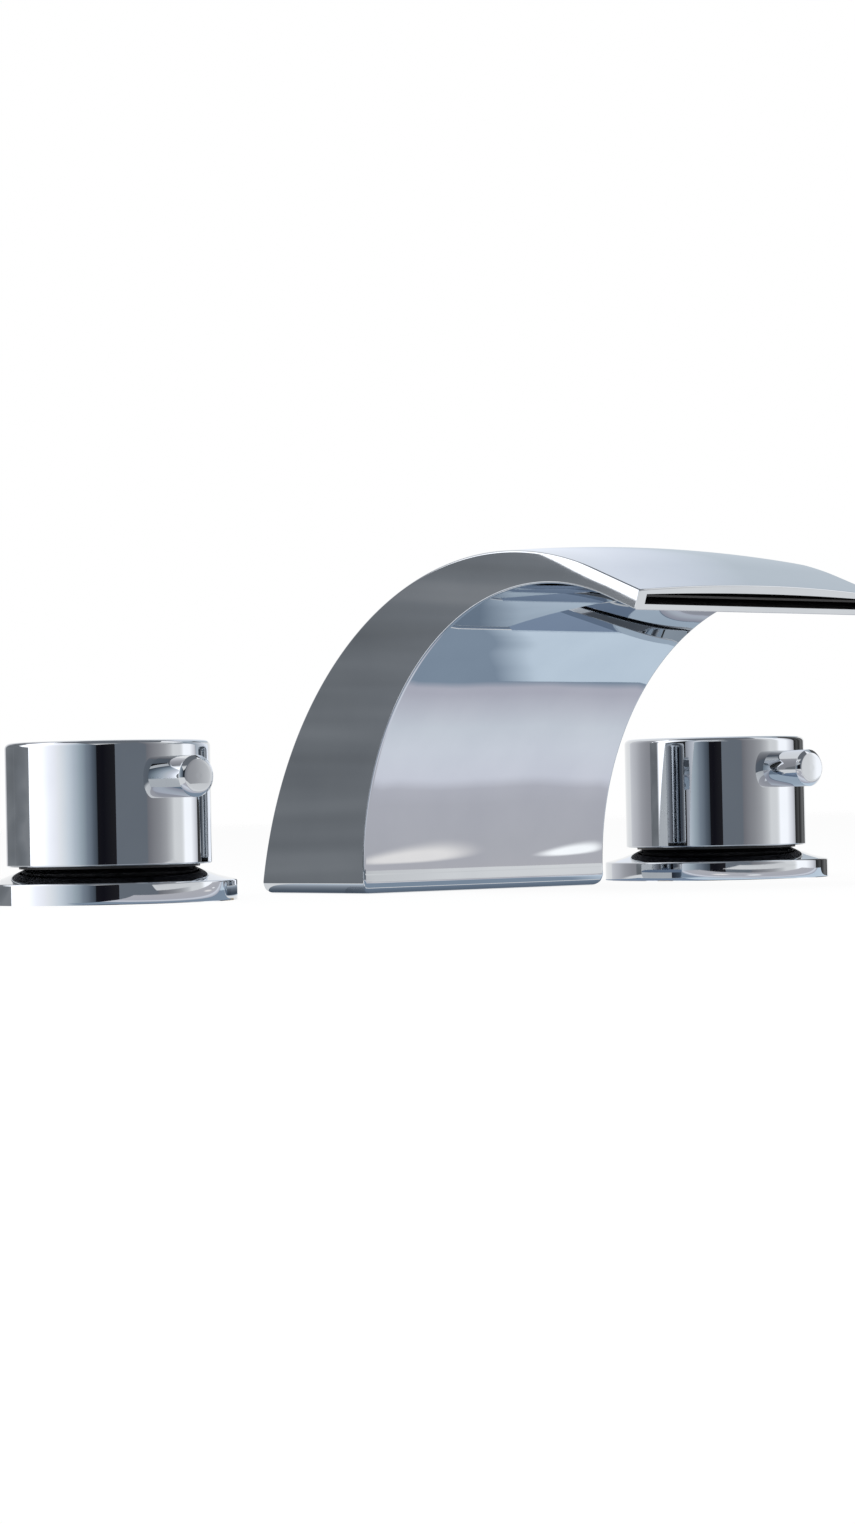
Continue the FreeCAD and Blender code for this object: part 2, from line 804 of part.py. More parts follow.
def lever_pin():
    """Short round lever with a bevelled end and a threaded stud."""
    end = knob_radius + pin_reach
    pin = rod_forward(pin_radius, pin_seat, end, pin_height)
    end_rim = [edge for edge in pin.Edges if abs(edge.CenterOfMass.y + end) < pin_chamfer / 2]
    pin = pin.makeChamfer(pin_chamfer, end_rim)
    return one_solid(pin.fuse(rod_forward(stud_radius, stud_end, pin_seat, pin_height)))


def set_screw():
    """Grub screw in the stud's hole, against the spline."""
    screw = rod_forward(stud_radius, set_screw_start, set_screw_end, pin_height)
    key = hexagon(set_screw_key, 0, set_screw_key_depth)
    key.rotate(ORIGIN, X_AXIS, 90)
    key.translate(vec(0, set_screw_key_depth - set_screw_end, pin_height))
    return screw.cut(key)


def index_dot():
    """Coloured disc in the knob's top that marks hot or cold."""
    return rod(index_dot_radius, knob_top - index_dot_depth, knob_top)


def valve_pieces():
    """Every piece of one valve, about the valve's own axis."""
    pieces = {
        "escutcheon": escutcheon(),
        "escutcheon_gasket": escutcheon_gasket(),
        "glide_ring": glide_ring(),
        "valve_body": valve_body(),
        "cartridge_housing": cartridge_housing(),
        "cartridge_oring": cartridge_oring(),
        "seat_seal": seat_seal(),
        "fixed_disc": fixed_disc(),
        "moving_disc": moving_disc(),
        "stem": stem(),
        "stem_orings": stem_orings(),
        "thrust_washer": thrust_washer(),
        "stem_clip": stem_clip(),
        "knob": knob(),
        "lever_pin": lever_pin(),
        "set_screw": set_screw(),
        "index_dot": index_dot(),
    }
    pieces.update(clamp(valve_shank_radius, valve_washer_rim, valve_nut_flats, valve_nut_height))
    return pieces


def spout_pieces():
    """Every piece of the spout."""
    pieces = {
        "spout_body": spout_body(),
        "slot_liner": slot_liner(),
        "spout_base_plate": spout_base_plate(),
        "base_plate_screws": base_plate_screws(),
        "spout_gasket": spout_gasket(),
        "spout_shank": spout_shank(),
        "shank_oring": shank_oring(),
    }
    for name, shape in clamp(spout_shank_radius, spout_washer_rim, spout_nut_flats, spout_nut_height).items():
        pieces["spout_" + name] = shape
    return pieces


def faucet():
    """Every piece of the faucet in its place: hot on the left, cold as its mirror image."""
    pieces = spout_pieces()
    for name, shape in valve_pieces().items():
        hot = shape.translated(vec(-handle_spacing / 2, 0, 0))
        pieces["hot_" + name] = hot
        pieces["cold_" + name] = hot.mirror(ORIGIN, X_AXIS)
    return pieces


os.makedirs("parts", exist_ok=True)
for node, shape in faucet().items():
    shape.exportStep("parts/" + node + ".step")
    print(node, "solids", len(shape.Solids), "valid", shape.isValid(), "volume", round(shape.Volume, 1))
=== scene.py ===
"""Looks of a widespread bathroom faucet, dressed over its packed construction.

Metres. Z is up from the deck's top face, the user stands on the -Y side, hot is on the left.
"""

import json
import logging
import math
from dataclasses import dataclass
from enum import Enum
from typing import Any, Callable, Optional, Sequence, Union

import bmesh
import bpy
from mathutils import Matrix, Vector


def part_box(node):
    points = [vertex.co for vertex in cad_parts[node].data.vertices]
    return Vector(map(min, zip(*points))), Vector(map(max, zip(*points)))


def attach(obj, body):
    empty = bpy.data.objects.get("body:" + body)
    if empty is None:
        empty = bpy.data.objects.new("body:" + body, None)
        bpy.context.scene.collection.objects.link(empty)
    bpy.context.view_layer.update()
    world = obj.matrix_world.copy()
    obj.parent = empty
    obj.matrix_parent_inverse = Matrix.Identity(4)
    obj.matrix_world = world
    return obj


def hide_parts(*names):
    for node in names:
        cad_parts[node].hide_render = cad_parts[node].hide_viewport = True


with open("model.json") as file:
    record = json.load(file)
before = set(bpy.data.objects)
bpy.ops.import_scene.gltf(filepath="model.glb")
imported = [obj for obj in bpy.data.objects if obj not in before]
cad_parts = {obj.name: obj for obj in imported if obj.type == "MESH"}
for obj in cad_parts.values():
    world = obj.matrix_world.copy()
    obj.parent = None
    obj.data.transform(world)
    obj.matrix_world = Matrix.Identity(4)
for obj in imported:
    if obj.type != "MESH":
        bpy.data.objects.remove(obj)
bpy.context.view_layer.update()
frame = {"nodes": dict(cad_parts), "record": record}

LOG = logging.getLogger("faucet")

MM = 0.001
NEAR = 0.02 * MM  # how close a point on a place lies to it
LOOSE = 5 * NEAR  # the same where a curve is made of short chords
WELD = 0.001 * MM  # points closer than this are merged
STEEP = 0.9  # cosine over which a direction runs along an axis
X_AXIS = Vector((1, 0, 0))
Y_AXIS = Vector((0, 1, 0))
Z_AXIS = Vector((0, 0, 1))
Piece = bpy.types.Object
Test = Callable[[Vector], bool]
Triple = tuple[float, float, float]
Colour = Triple
WHITE: Colour = (1.0, 1.0, 1.0)
Stops = Sequence[tuple[float, Colour]]


class Slot(Enum):
    """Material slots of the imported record."""

    CHROME = "chrome"
    BRASS = "brass"
    STAINLESS = "stainless"
    BLACK_RUBBER = "black_rubber"
    BLACK_PLASTIC = "black_plastic"
    WHITE_PLASTIC = "white_plastic"
    WHITE_CERAMIC = "white_ceramic"
    HOT_MARK = "hot_mark"
    COLD_MARK = "cold_mark"


class Side(Enum):
    """The two valves, by the first word of their nodes' names."""

    HOT = "hot"
    COLD = "cold"

    def node(self, name: str) -> str:
        """Name of this side's node of a kind."""
        return f"{self.value}_{name}"

    def axis(self) -> Vector:
        """Foot of the valve's axis on the deck, from the knob's box."""
        low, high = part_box(self.node("knob"))
        return Vector(((low.x + high.x) / 2, (low.y + high.y) / 2, 0))

    def handle(self) -> str:
        """Name of the body that turns."""
        return f"{self.value}_handle"


class Signal:
    """A shader socket that takes part in Python sums and products."""

    def __init__(self, graph: "Graph", socket: bpy.types.NodeSocket) -> None:
        """Wrap an output socket of a graph."""
        self.graph = graph
        self.socket = socket

    def combine(self, operation: str, first: "Term", second: "Term") -> "Signal":
        """Result of a Math node on two numbers or signals."""
        return self.graph.node("ShaderNodeMath", {"operation": operation}, {0: first, 1: second})

    def __add__(self, other: "Term") -> "Signal":
        """Sum with a number or signal."""
        return self.combine("ADD", self, other)

    __radd__ = __add__

    def __mul__(self, other: "Term") -> "Signal":
        """Product with a number or signal."""
        return self.combine("MULTIPLY", self, other)

    __rmul__ = __mul__

    def __sub__(self, other: "Term") -> "Signal":
        """Difference from a number or signal."""
        return self.combine("SUBTRACT", self, other)

    def __rsub__(self, other: "Term") -> "Signal":
        """Difference of a number less this signal."""
        return self.combine("SUBTRACT", other, self)

    def __or__(self, other: "Term") -> "Signal":
        """The larger of two signals."""
        return self.combine("MAXIMUM", self, other)


Term = Union[float, Colour, Signal]


class Graph:
    """A node tree, emptied and ready for a finish."""

    def __init__(self, tree: bpy.types.NodeTree) -> None:
        """Empty the tree of a material or of the world."""
        tree.nodes.clear()
        self.tree = tree

    def node(self, kind: str, settings: Optional[dict[str, Any]] = None,
             sockets: Optional[dict[Union[str, int], Term]] = None,
             output: Union[str, int] = 0) -> Signal:
        """Add a node of any kind.

        Args:
            kind: The node's type.
            settings: Its properties, set first; "stops" gives a ramp's places and colours.
            sockets: A value or a signal for each input, by name or number.
            output: The output to hand back.

        Returns:
            That output as a signal.
        """
        node = self.tree.nodes.new(kind)
        for name, value in (settings or {}).items():
            if name == "stops":
                self.set_stops(node.color_ramp, value)
            else:
                setattr(node, name, value)
        for name, value in (sockets or {}).items():
            if isinstance(value, Signal):
                self.tree.links.new(value.socket, node.inputs[name])
            elif isinstance(value, tuple) and node.inputs[name].type == "RGBA":
                node.inputs[name].default_value = (*value, 1.0)
            else:
                node.inputs[name].default_value = value
        return Signal(self, node.outputs[output]) if node.outputs else None

    @staticmethod
    def set_stops(ramp: bpy.types.ColorRamp, stops: Stops) -> None:
        """Give a ramp its stops.

        Args:
            ramp: The colour ramp.
            stops: Place and colour of each stop, in order.
        """
        while len(ramp.elements) < len(stops):
            ramp.elements.new(1.0)
        for element, (place, colour) in zip(ramp.elements, stops):
            element.position = place
            element.color = (*colour, 1.0)

    def place(self) -> Signal:
        """Object coordinates, in metres."""
        return self.node("ShaderNodeTexCoord", output="Object")

    def noise(self, grain: float, detail: float = 2.0, stretch: Triple = (1, 1, 1)) -> Signal:
        """Clouds between 0 and 1, grain metres in size and finer by stretch along each axis."""
        spread = self.node("ShaderNodeVectorMath", {"operation": "MULTIPLY"},
                           {0: self.place(), 1: stretch})
        return self.node("ShaderNodeTexNoise",
                         sockets={"Vector": spread, "Scale": 1 / grain, "Detail": detail})

    def ramp(self, value: Signal, stops: Stops) -> Signal:
        """Colour that follows a value through stops."""
        return self.node("ShaderNodeValToRGB", {"stops": stops}, {"Fac": value})

    def spread(self) -> Signal:
        """Distance from the object's origin."""
        return self.node("ShaderNodeVectorMath", {"operation": "LENGTH"}, {0: self.place()}, "Value")

    def fade(self, value: Signal, start: float, end: float) -> Signal:
        """Smooth rise from 0 to 1 while a value goes from start to end."""
        return self.node("ShaderNodeMapRange", {"interpolation_type": "SMOOTHSTEP"},
                         {"Value": value, "From Min": start, "From Max": end})

    def bump(self, height: Signal, depth: float) -> Signal:
        """Normal bent by a relief between 0 and 1 that is depth metres deep."""
        return self.node("ShaderNodeBump", sockets={"Height": height, "Distance": depth, "Strength": 1.0})

    def rays(self) -> tuple[Signal, Signal]:
        """Tests of the ray that meets a surface or the world.

        Returns:
            Whether it shows what it meets, and whether it comes off a mirror.
        """
        camera, glossy, through = [self.node("ShaderNodeLightPath", output=name)
                                   for name in ("Is Camera Ray", "Is Glossy Ray", "Is Transmission Ray")]
        return camera | glossy | through, glossy

    def glow(self, tone: Term) -> Signal:
        """Light of a tone, at strength 1."""
        return self.node("ShaderNodeEmission", sockets={"Color": tone, "Strength": 1.0})

    def vanish(self, shader: Signal, share: Signal) -> Signal:
        """Make a shader clear by a share."""
        clear = self.node("ShaderNodeBsdfTransparent")
        return self.node("ShaderNodeMixShader", sockets={0: share, 1: shader, 2: clear})

    def surface(self, shader: Signal) -> None:
        """Send a shader to the material's output."""
        self.node("ShaderNodeOutputMaterial", sockets={"Surface": shader})

    def principled(self, tone: Signal, roughness: Signal, normal: Signal, metallic: float = 0.0) -> None:
        """Send a Principled shader to the material's output."""
        self.surface(self.node("ShaderNodeBsdfPrincipled", sockets={
            "Base Color": tone, "Metallic": metallic, "Roughness": roughness, "Normal": normal}))


def new_graph(name: str) -> tuple[bpy.types.Material, Graph]:
    """Make an empty material.

    Args:
        name: The material's name.

    Returns:
        The material and its graph.
    """
    material = bpy.data.materials.new(name)
    material.use_nodes = True
    return material, Graph(material.node_tree)


class Finish:
    """A finish that makes its own material."""

    def shade(self, graph: Graph) -> None:
        """Lay the finish's nodes out in an empty graph."""
        raise NotImplementedError

    def material(self, name: str) -> bpy.types.Material:
        """Make the material.

        Args:
            name: The material's name.

        Returns:
            The material.
        """
        material, graph = new_graph(name)
        self.shade(graph)
        return material


@dataclass(frozen=True)
class PolishedChrome(Finish):
    """Bright plating over a polished cast body, with faint polishing waves and wiped water marks."""

    tint: Colour = (0.62, 0.645, 0.67)
    marked_tint: Colour = (0.585, 0.61, 0.64)
    roughness: float = 0.006
    smear: float = 0.02
    smear_size: float = 18 * MM
    wave_size: float = 26 * MM
    wave_depth: float = 0.012 * MM

    def shade(self, graph: Graph) -> None:
        """Lay out marks over waves.

        Args:
            graph: The material's empty graph.
        """
        marks = graph.noise(self.smear_size, detail=5.0)
        tone = graph.ramp(marks, [(0.35, self.marked_tint), (0.7, self.tint)])
        waves = graph.noise(self.wave_size, detail=1.0)
        graph.principled(tone, self.roughness + marks * self.smear,
                         graph.bump(waves, self.wave_depth), metallic=1.0)


@dataclass(frozen=True)
class TurnedMetal(Finish):
    """Bare metal off the lathe: fine rings along the axis, cloudy tarnish and a soft sheen."""

    fresh: Colour
    tarnished: Colour
    roughness: float
    groove_pitch: float = 0.35 * MM
    groove_depth: float = 0.004 * MM
    groove_stretch: Triple = (0.02, 0.02, 1.0)
    groove_spread: float = 0.06
    tarnish_size: float = 9 * MM
    tarnish_spread: float = 0.12

    def shade(self, graph: Graph) -> None:
        """Lay out tarnish over the lathe's rings.

        Args:
            graph: The material's empty graph.
        """
        tarnish = graph.noise(self.tarnish_size, detail=6.0)
        tone = graph.ramp(tarnish, [(0.35, self.fresh), (0.72, self.tarnished)])
        rings = graph.noise(self.groove_pitch, 1.0, self.groove_stretch)
        roughness = self.roughness + tarnish * self.tarnish_spread + rings * self.groove_spread
        graph.principled(tone, roughness, graph.bump(rings, self.groove_depth), metallic=1.0)


@dataclass(frozen=True)
class Moulded(Finish):
    """Moulded rubber, plastic or fired ceramic: cloudy tone, fine grain and its own gloss."""

    tone: Colour
    worn_tone: Colour
    roughness: float
    roughness_spread: float
    grain_size: float
    grain_depth: float
    cloud_size: float = 6 * MM
    cloud_share: float = 0.6

    def shade(self, graph: Graph) -> None:
        """Lay out clouds and grain.

        Args:
            graph: The material's empty graph.
        """
        clouds = graph.noise(self.cloud_size, detail=4.0)
        grain = graph.noise(self.grain_size, detail=3.0)
        wear = clouds * self.cloud_share + grain * (1 - self.cloud_share)
        tone = graph.ramp(wear, [(0.35, self.tone), (0.7, self.worn_tone)])
        graph.principled(tone, self.roughness + clouds * self.roughness_spread,
                         graph.bump(grain, self.grain_depth))


class Finishes:
    """The faucet's materials, one for each slot of the record, and one for the knob's bare inside, dark
    cast metal that also paints the shade in the gap.
    """

    def __init__(self) -> None:
        """Make every material once."""
        finishes = {
            Slot.CHROME: PolishedChrome(),
            Slot.BRASS: TurnedMetal((0.72, 0.53, 0.25), (0.55, 0.36, 0.14), 0.22),
            Slot.STAINLESS: TurnedMetal((0.62, 0.61, 0.59), (0.48, 0.47, 0.46), 0.24),
            Slot.BLACK_RUBBER: Moulded((0.014, 0.014, 0.015), (0.035, 0.034, 0.033),
                                       0.62, 0.25, 0.5 * MM, 0.02 * MM),
            Slot.BLACK_PLASTIC: Moulded((0.009, 0.009, 0.010), (0.022, 0.022, 0.023),
                                        0.34, 0.2, 0.7 * MM, 0.008 * MM),
            Slot.WHITE_PLASTIC: Moulded((0.83, 0.82, 0.78), (0.72, 0.70, 0.65),
                                        0.38, 0.15, 0.7 * MM, 0.008 * MM),
            Slot.WHITE_CERAMIC: Moulded((0.86, 0.85, 0.82), (0.80, 0.78, 0.74),
                                        0.12, 0.1, 0.3 * MM, 0.002 * MM),
            Slot.HOT_MARK: Moulded((0.62, 0.016, 0.014), (0.50, 0.012, 0.012),
                                   0.08, 0.08, 0.6 * MM, 0.003 * MM),
            Slot.COLD_MARK: Moulded((0.014, 0.075, 0.55), (0.012, 0.055, 0.44),
                                    0.08, 0.08, 0.6 * MM, 0.003 * MM),
        }
        self.by_slot = {slot: finish.material(slot.value) for slot, finish in finishes.items()}
        # The knob's bare inside: cast metal made darker than it is, as painted shade in the gap under the
        # knob.
        self.casting = TurnedMetal((0.10, 0.10, 0.11), (0.04, 0.04, 0.045), 0.55).material("bare_casting")

    def dress(self, piece: Piece, slot: Slot) -> None:
        """Give a piece the one material of a slot."""
        piece.data.materials.clear()
        piece.data.materials.append(self.by_slot[slot])


def empty_hands() -> None:
    """Leave edit mode and let go of everything."""
    if bpy.context.mode != "OBJECT":
        bpy.ops.object.mode_set(mode="OBJECT")
    bpy.ops.object.select_all(action="DESELECT")


def take_up(piece: Piece) -> None:
    """Let go of everything else and make a piece the active one.

    Args:
        piece: The piece to work on.
    """
    empty_hands()
    bpy.context.view_layer.objects.active = piece
    piece.select_set(True)


class Bench:
    """A mesh under the maker's hands: parts are picked by their place, then worked by operators."""

    def __init__(self, name: str, start: Callable[..., Any], **settings: Any) -> None:
        """Start a piece, with its place moved into its mesh and all of it picked.

        Args:
            name: Name of the piece and its mesh.
            start: The operator that adds a primitive, or take_up.
            settings: What it is called with.
        """
        empty_hands()
        start(**settings)
        self.piece: Piece = bpy.context.active_object
        self.piece.name = name
        self.piece.data.name = name
        bpy.ops.object.transform_apply(location=True, rotation=True, scale=True)
        bpy.ops.object.mode_set(mode="EDIT")
        bpy.ops.mesh.select_mode(type="VERT")
        bpy.ops.mesh.select_all(action="SELECT")

    @classmethod
    def rod(cls, name: str, radius: float, start: Vector, end: Vector, sides: int) -> "Bench":
        """Start from a round bar with a number of flats, between the centres of its ends."""
        run = end - start
        return cls(name, bpy.ops.mesh.primitive_cylinder_add, vertices=sides, radius=radius,
                   depth=run.length, location=(start + end) / 2,
                   rotation=run.to_track_quat("Z", "Y").to_euler())

    @classmethod
    def block(cls, name: str, low: Vector, high: Vector) -> "Bench":
        """Start from a box between two corners."""
        return cls(name, bpy.ops.mesh.primitive_cube_add, size=1, location=(low + high) / 2,
                   scale=high - low)

    @classmethod
    def point(cls, name: str, place: Vector) -> "Bench":
        """Start from a single vertex.

        Args:
            name: Name of the piece.
            place: The vertex's place.

        Returns:
            The bench with the vertex on it.
        """
        bench = cls(name, bpy.ops.mesh.primitive_plane_add, size=MM, location=place)
        bpy.ops.mesh.merge(type="CENTER")
        return bench

    @classmethod
    def node_copy(cls, name: str, node: str) -> "Bench":
        """Start from a copy of a CAD node's mesh.

        Args:
            name: Name of the piece.
            node: The node.

        Returns:
            The bench with the copy on it, its seams closed.
        """
        mesh = frame["nodes"][node].data.copy()
        mesh.transform(frame["nodes"][node].matrix_world)
        piece = bpy.data.objects.new(name, mesh)
        bpy.context.collection.objects.link(piece)
        return cls(name, take_up, piece=piece).weld()

    def pick(self, kind: str, test: Callable[[Any], bool]) -> "Bench":
        """Pick the vertices, edges or faces that pass a test.

        Args:
            kind: VERT, EDGE or FACE.
            test: Takes one such element and says whether it is picked.

        Returns:
            The bench.
        """
        bpy.ops.mesh.select_mode(type=kind)
        bpy.ops.mesh.select_all(action="DESELECT")
        shape = bmesh.from_edit_mesh(self.piece.data)
        shape.normal_update()
        for element in {"VERT": shape.verts, "EDGE": shape.edges, "FACE": shape.faces}[kind]:
            if test(element):
                element.select_set(True)
        bmesh.update_edit_mesh(self.piece.data)
        return self

    def points(self, test: Test) -> "Bench":
        """Pick the vertices whose place passes a test."""
        return self.pick("VERT", lambda vert: test(vert.co))

    def edges(self, test: Test) -> "Bench":
        """Pick the edges whose two ends pass a test."""
        return self.pick("EDGE", lambda edge: all(test(vert.co) for vert in edge.verts))

    def faces(self, test: Test) -> "Bench":
        """Pick the faces whose corners all pass a test."""
        return self.pick("FACE", lambda face: all(test(vert.co) for vert in face.verts))

    def extrude(self, shift: Vector) -> "Bench":
        """Extrude what is picked by a shift."""
        bpy.ops.mesh.extrude_region_move(TRANSFORM_OT_translate={"value": shift})
        return self

    def extrude_point(self, shift: Vector) -> "Bench":
        """Draw an edge out of the picked vertex."""
        bpy.ops.mesh.extrude_vertices_move(TRANSFORM_OT_translate={"value": shift})
        return self

    def move(self, shift: Vector) -> "Bench":
        """Move what is picked."""
        bpy.ops.transform.translate(value=shift)
        return self

    def resize(self, factors: Sequence[float], centre: Vector) -> "Bench":
        """Scale what is picked about a centre."""
        bpy.ops.transform.resize(value=factors, center_override=centre)
        return self

    def inset(self, margin: float) -> "Bench":
        """Draw the picked face in by a margin."""
        bpy.ops.mesh.inset(thickness=margin, depth=0)
        return self

    def bevel(self, width: float, segments: int) -> "Bench":
        """Round the picked edges."""
        bpy.ops.mesh.bevel(offset=width, segments=segments, profile=0.5, affect="EDGES",
                           clamp_overlap=False)
        return self

    def spin(self, turn: float, centre: Vector, steps: int) -> "Bench":
        """Spin what is picked about the X axis through a centre."""
        bpy.ops.mesh.spin(steps=steps, angle=turn, center=centre, axis=X_AXIS)
        return self

    def bridge(self) -> "Bench":
        """Join two picked faces by a tunnel."""
        bpy.ops.mesh.bridge_edge_loops()
        return self

    def fill(self) -> "Bench":
        """Make an edge or a face between what is picked."""
        bpy.ops.mesh.edge_face_add()
        return self

    def close_outline(self) -> "Bench":
        """Join the two ends of a drawn line and fill the outline."""
        self.pick("VERT", lambda vert: len(vert.link_edges) == 1).fill()
        return self.pick("EDGE", lambda edge: True).fill()

    def weld(self) -> "Bench":
        """Merge points that lie on each other."""
        bpy.ops.mesh.select_all(action="SELECT")
        bpy.ops.mesh.remove_doubles(threshold=WELD)
        return self

    def face_outwards(self) -> "Bench":
        """Turn every face outwards."""
        bpy.ops.mesh.select_all(action="SELECT")
        bpy.ops.mesh.normals_make_consistent(inside=False)
        return self

    def weigh(self, share: float) -> "Bench":
        """Set how much of the bevel's width the picked edges take."""
        bpy.ops.transform.edge_bevelweight(value=share)
        return self

    def trim_below(self, height: float) -> "Bench":
        """Cut off everything under a height and close the cut.

        Args:
            height: The height.

        Returns:
            The bench.
        """
        bpy.ops.mesh.select_all(action="SELECT")
        bpy.ops.mesh.bisect(plane_co=Z_AXIS * height, plane_no=Z_AXIS, use_fill=True, clear_inner=True)
        return self

    def modify(self, kind: str, **settings: Any) -> "Bench":
        """Add a modifier and apply it at once.

        Args:
            kind: The modifier's type.
            settings: Its properties.

        Returns:
            The bench.
        """
        take_up(self.piece)
        modifier = self.piece.modifiers.new(kind.lower(), kind)
        for name, value in settings.items():
            setattr(modifier, name, value)
        bpy.ops.object.modifier_apply(modifier=modifier.name)
        bpy.ops.object.mode_set(mode="EDIT")
        return self

    def cut(self, tool: "Bench") -> "Bench":
        """Cut another piece's shape out of this one, and discard that piece.

        Args:
            tool: The other piece.

        Returns:
            The bench.
        """
        self.modify("BOOLEAN", operation="DIFFERENCE", solver="EXACT", object=tool.piece)
        bpy.data.objects.remove(tool.piece)
        return self

    def finish(self, sharp_over: float = 32.0) -> Piece:
        """Close the mesh, turn its faces outwards and shade it.

        Args:
            sharp_over: Edges sharper than this many degrees stay crisp.

        Returns:
            The finished piece.
        """
        self.weld().face_outwards()
        take_up(self.piece)
        bpy.ops.object.shade_smooth_by_angle(angle=math.radians(sharp_over))
        self.modify("WEIGHTED_NORMAL", mode="FACE_AREA", weight=100, keep_sharp=True)
        empty_hands()
        return self.piece


def copy_piece(piece: Piece, name: str, shift: Vector) -> Piece:
    """Copy a finished piece with a mesh of its own.

    Args:
        piece: The piece to copy.
        name: The copy's name.
        shift: How far the copy stands from it.

    Returns:
        The copy.
    """
    other = piece.copy()
    other.data = piece.data.copy()
    other.name = name
    other.data.name = name
    other.data.transform(Matrix.Translation(shift))
    bpy.context.collection.objects.link(other)
    return other


def stand_for(piece: Piece, node: str, body: str) -> None:
    """Put a new piece in a CAD node's place.

    Args:
        piece: The new piece.
        node: The node that it hides.
        body: The body that it moves with.
    """
    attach(piece, body)
    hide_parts(node)
    LOG.info("%s: %d faces, for %s on %s", piece.name, len(piece.data.polygons), node, body)


@dataclass
class Spout:
    """Wide arched spout: an arc up the back, a straight lip of even thickness, and an arc up the front."""

    width: float
    top: float
    reach: float = 125.85 * MM
    base_depth: float = 43.5 * MM
    back_radius: float = 98.5 * MM
    front_radius: float = 68.5 * MM
    tip_slope: float = math.radians(20.5)
    tip_thickness: float = 4.9 * MM
    crown: float = 1.8 * MM
    base_round: float = 3.0 * MM
    base_trim: float = 0.2 * MM
    front_round: float = 0.6 * MM
    back_round: float = 0.5 * MM
    tip_round: float = 0.4 * MM
    roof_wall: float = 2.0 * MM
    floor_wall: float = 1.5 * MM
    side_wall: float = 2.5 * MM
    slot_crown: float = 0.8 * MM
    slot_depth: float = 16.0 * MM
    pocket_rim: float = 5.0 * MM
    pocket_corner: float = 3.0 * MM
    pocket_depth: float = 10.0 * MM
    foot: float = 1.0 * MM
    first_step: float = 4.8 * MM
    overrun: float = 2.0 * MM
    round_segments: int = 6
    stations: int = 24
    arc_steps: int = 96
    lip_steps: int = 16

    @classmethod
    def from_frame(cls) -> "Spout":
        """Take the overall sizes from the CAD node's box."""
        low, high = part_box("spout_body")
        return cls(width=high.x - low.x, top=high.z)

    def __post_init__(self) -> None:
        """Work out the profile: the front arc runs straight on under the lip, at the tip's thickness."""
        self.half = self.width / 2
        self.along = Vector((0, -math.cos(self.tip_slope), -math.sin(self.tip_slope)))
        self.outward = Vector((0, -math.sin(self.tip_slope), math.cos(self.tip_slope)))
        back_y = self.base_depth / 2
        centre_z = self.top - self.crown - self.back_radius
        centre_y = back_y - math.sqrt(self.back_radius**2 - centre_z**2)
        self.back_centre = Vector((0, centre_y, centre_z))
        self.bend_end = self.back_centre + self.outward * self.back_radius
        self.lip_length = (self.reach + self.bend_end.y) / math.cos(self.tip_slope)
        self.tip_top = self.bend_end + self.along * self.lip_length
        self.tip_floor = self.tip_top - self.outward * self.tip_thickness
        rise = (self.reach - back_y - self.front_radius) * math.sin(self.tip_slope)
        drop = (self.tip_thickness + self.front_radius - rise) / math.cos(self.tip_slope)
        self.front_centre = Vector((0, -back_y - self.front_radius, self.tip_top.z - drop))
        self.front_end = self.front_centre + self.outward * self.front_radius

    @staticmethod
    def sag(half_width: float, rise: float, x: float) -> float:
        """How far a line that rises to its middle over a half width has fallen at x from there."""
        radius = (half_width**2 + rise**2) / (2 * rise)
        return radius - math.sqrt(radius**2 - x**2)

    @staticmethod
    def arc_angle(centre: Vector, point: Vector) -> float:
        """Angle of a point about a centre, from +Y towards +Z."""
        return math.atan2(point.z - centre.z, point.y - centre.y)

    @staticmethod
    def arc_reach(centre: Vector, point: Vector) -> float:
        """Distance of a point from a centre, seen along X."""
        return (point - centre).yz.length

    @staticmethod
    def angle_at_height(centre: Vector, radius: float, height: float) -> float:
        """Angle at which an arc that leans to +Y crosses a height."""
        return math.asin((height - centre.z) / radius)

    @staticmethod
    def on_arc(centre: Vector, radius: float, angle: float, x: float) -> Vector:
        """Point on an arc in a plane across X."""
        return Vector((x, centre.y + radius * math.cos(angle), centre.z + radius * math.sin(angle)))

    def profile(self) -> Bench:
        """Draw the closed side profile at the left side, its foot below the deck.

        Returns:
            The profile.
        """
        side = Vector((-self.half, 0, 0))
        low = self.angle_at_height(self.front_centre, self.front_radius, -self.foot)
        start = self.on_arc(self.front_centre, self.front_radius, low, -self.half)
        bench = Bench.point("spout_body_shell", start)
        turn = self.arc_angle(self.front_centre, self.front_end) - low
        first = self.first_step / self.front_radius
        bench.spin(-first, self.front_centre + side, 1)
        bench.spin(first - turn, self.front_centre + side, self.arc_steps)
        for _ in range(self.lip_steps):
            bench.extrude_point((self.tip_floor - self.front_end) / self.lip_steps)
        bench.extrude_point(self.outward * self.tip_thickness)
        for _ in range(self.lip_steps):
            bench.extrude_point(-self.along * (self.lip_length / self.lip_steps))
        low = self.angle_at_height(self.back_centre, self.back_radius, -self.foot)
        turn = self.arc_angle(self.back_centre, self.bend_end) - low
        first = self.first_step / self.back_radius
        bench.spin(turn - first, self.back_centre + side, self.arc_steps)
        bench.spin(first, self.back_centre + side, 1)
        return bench.close_outline()

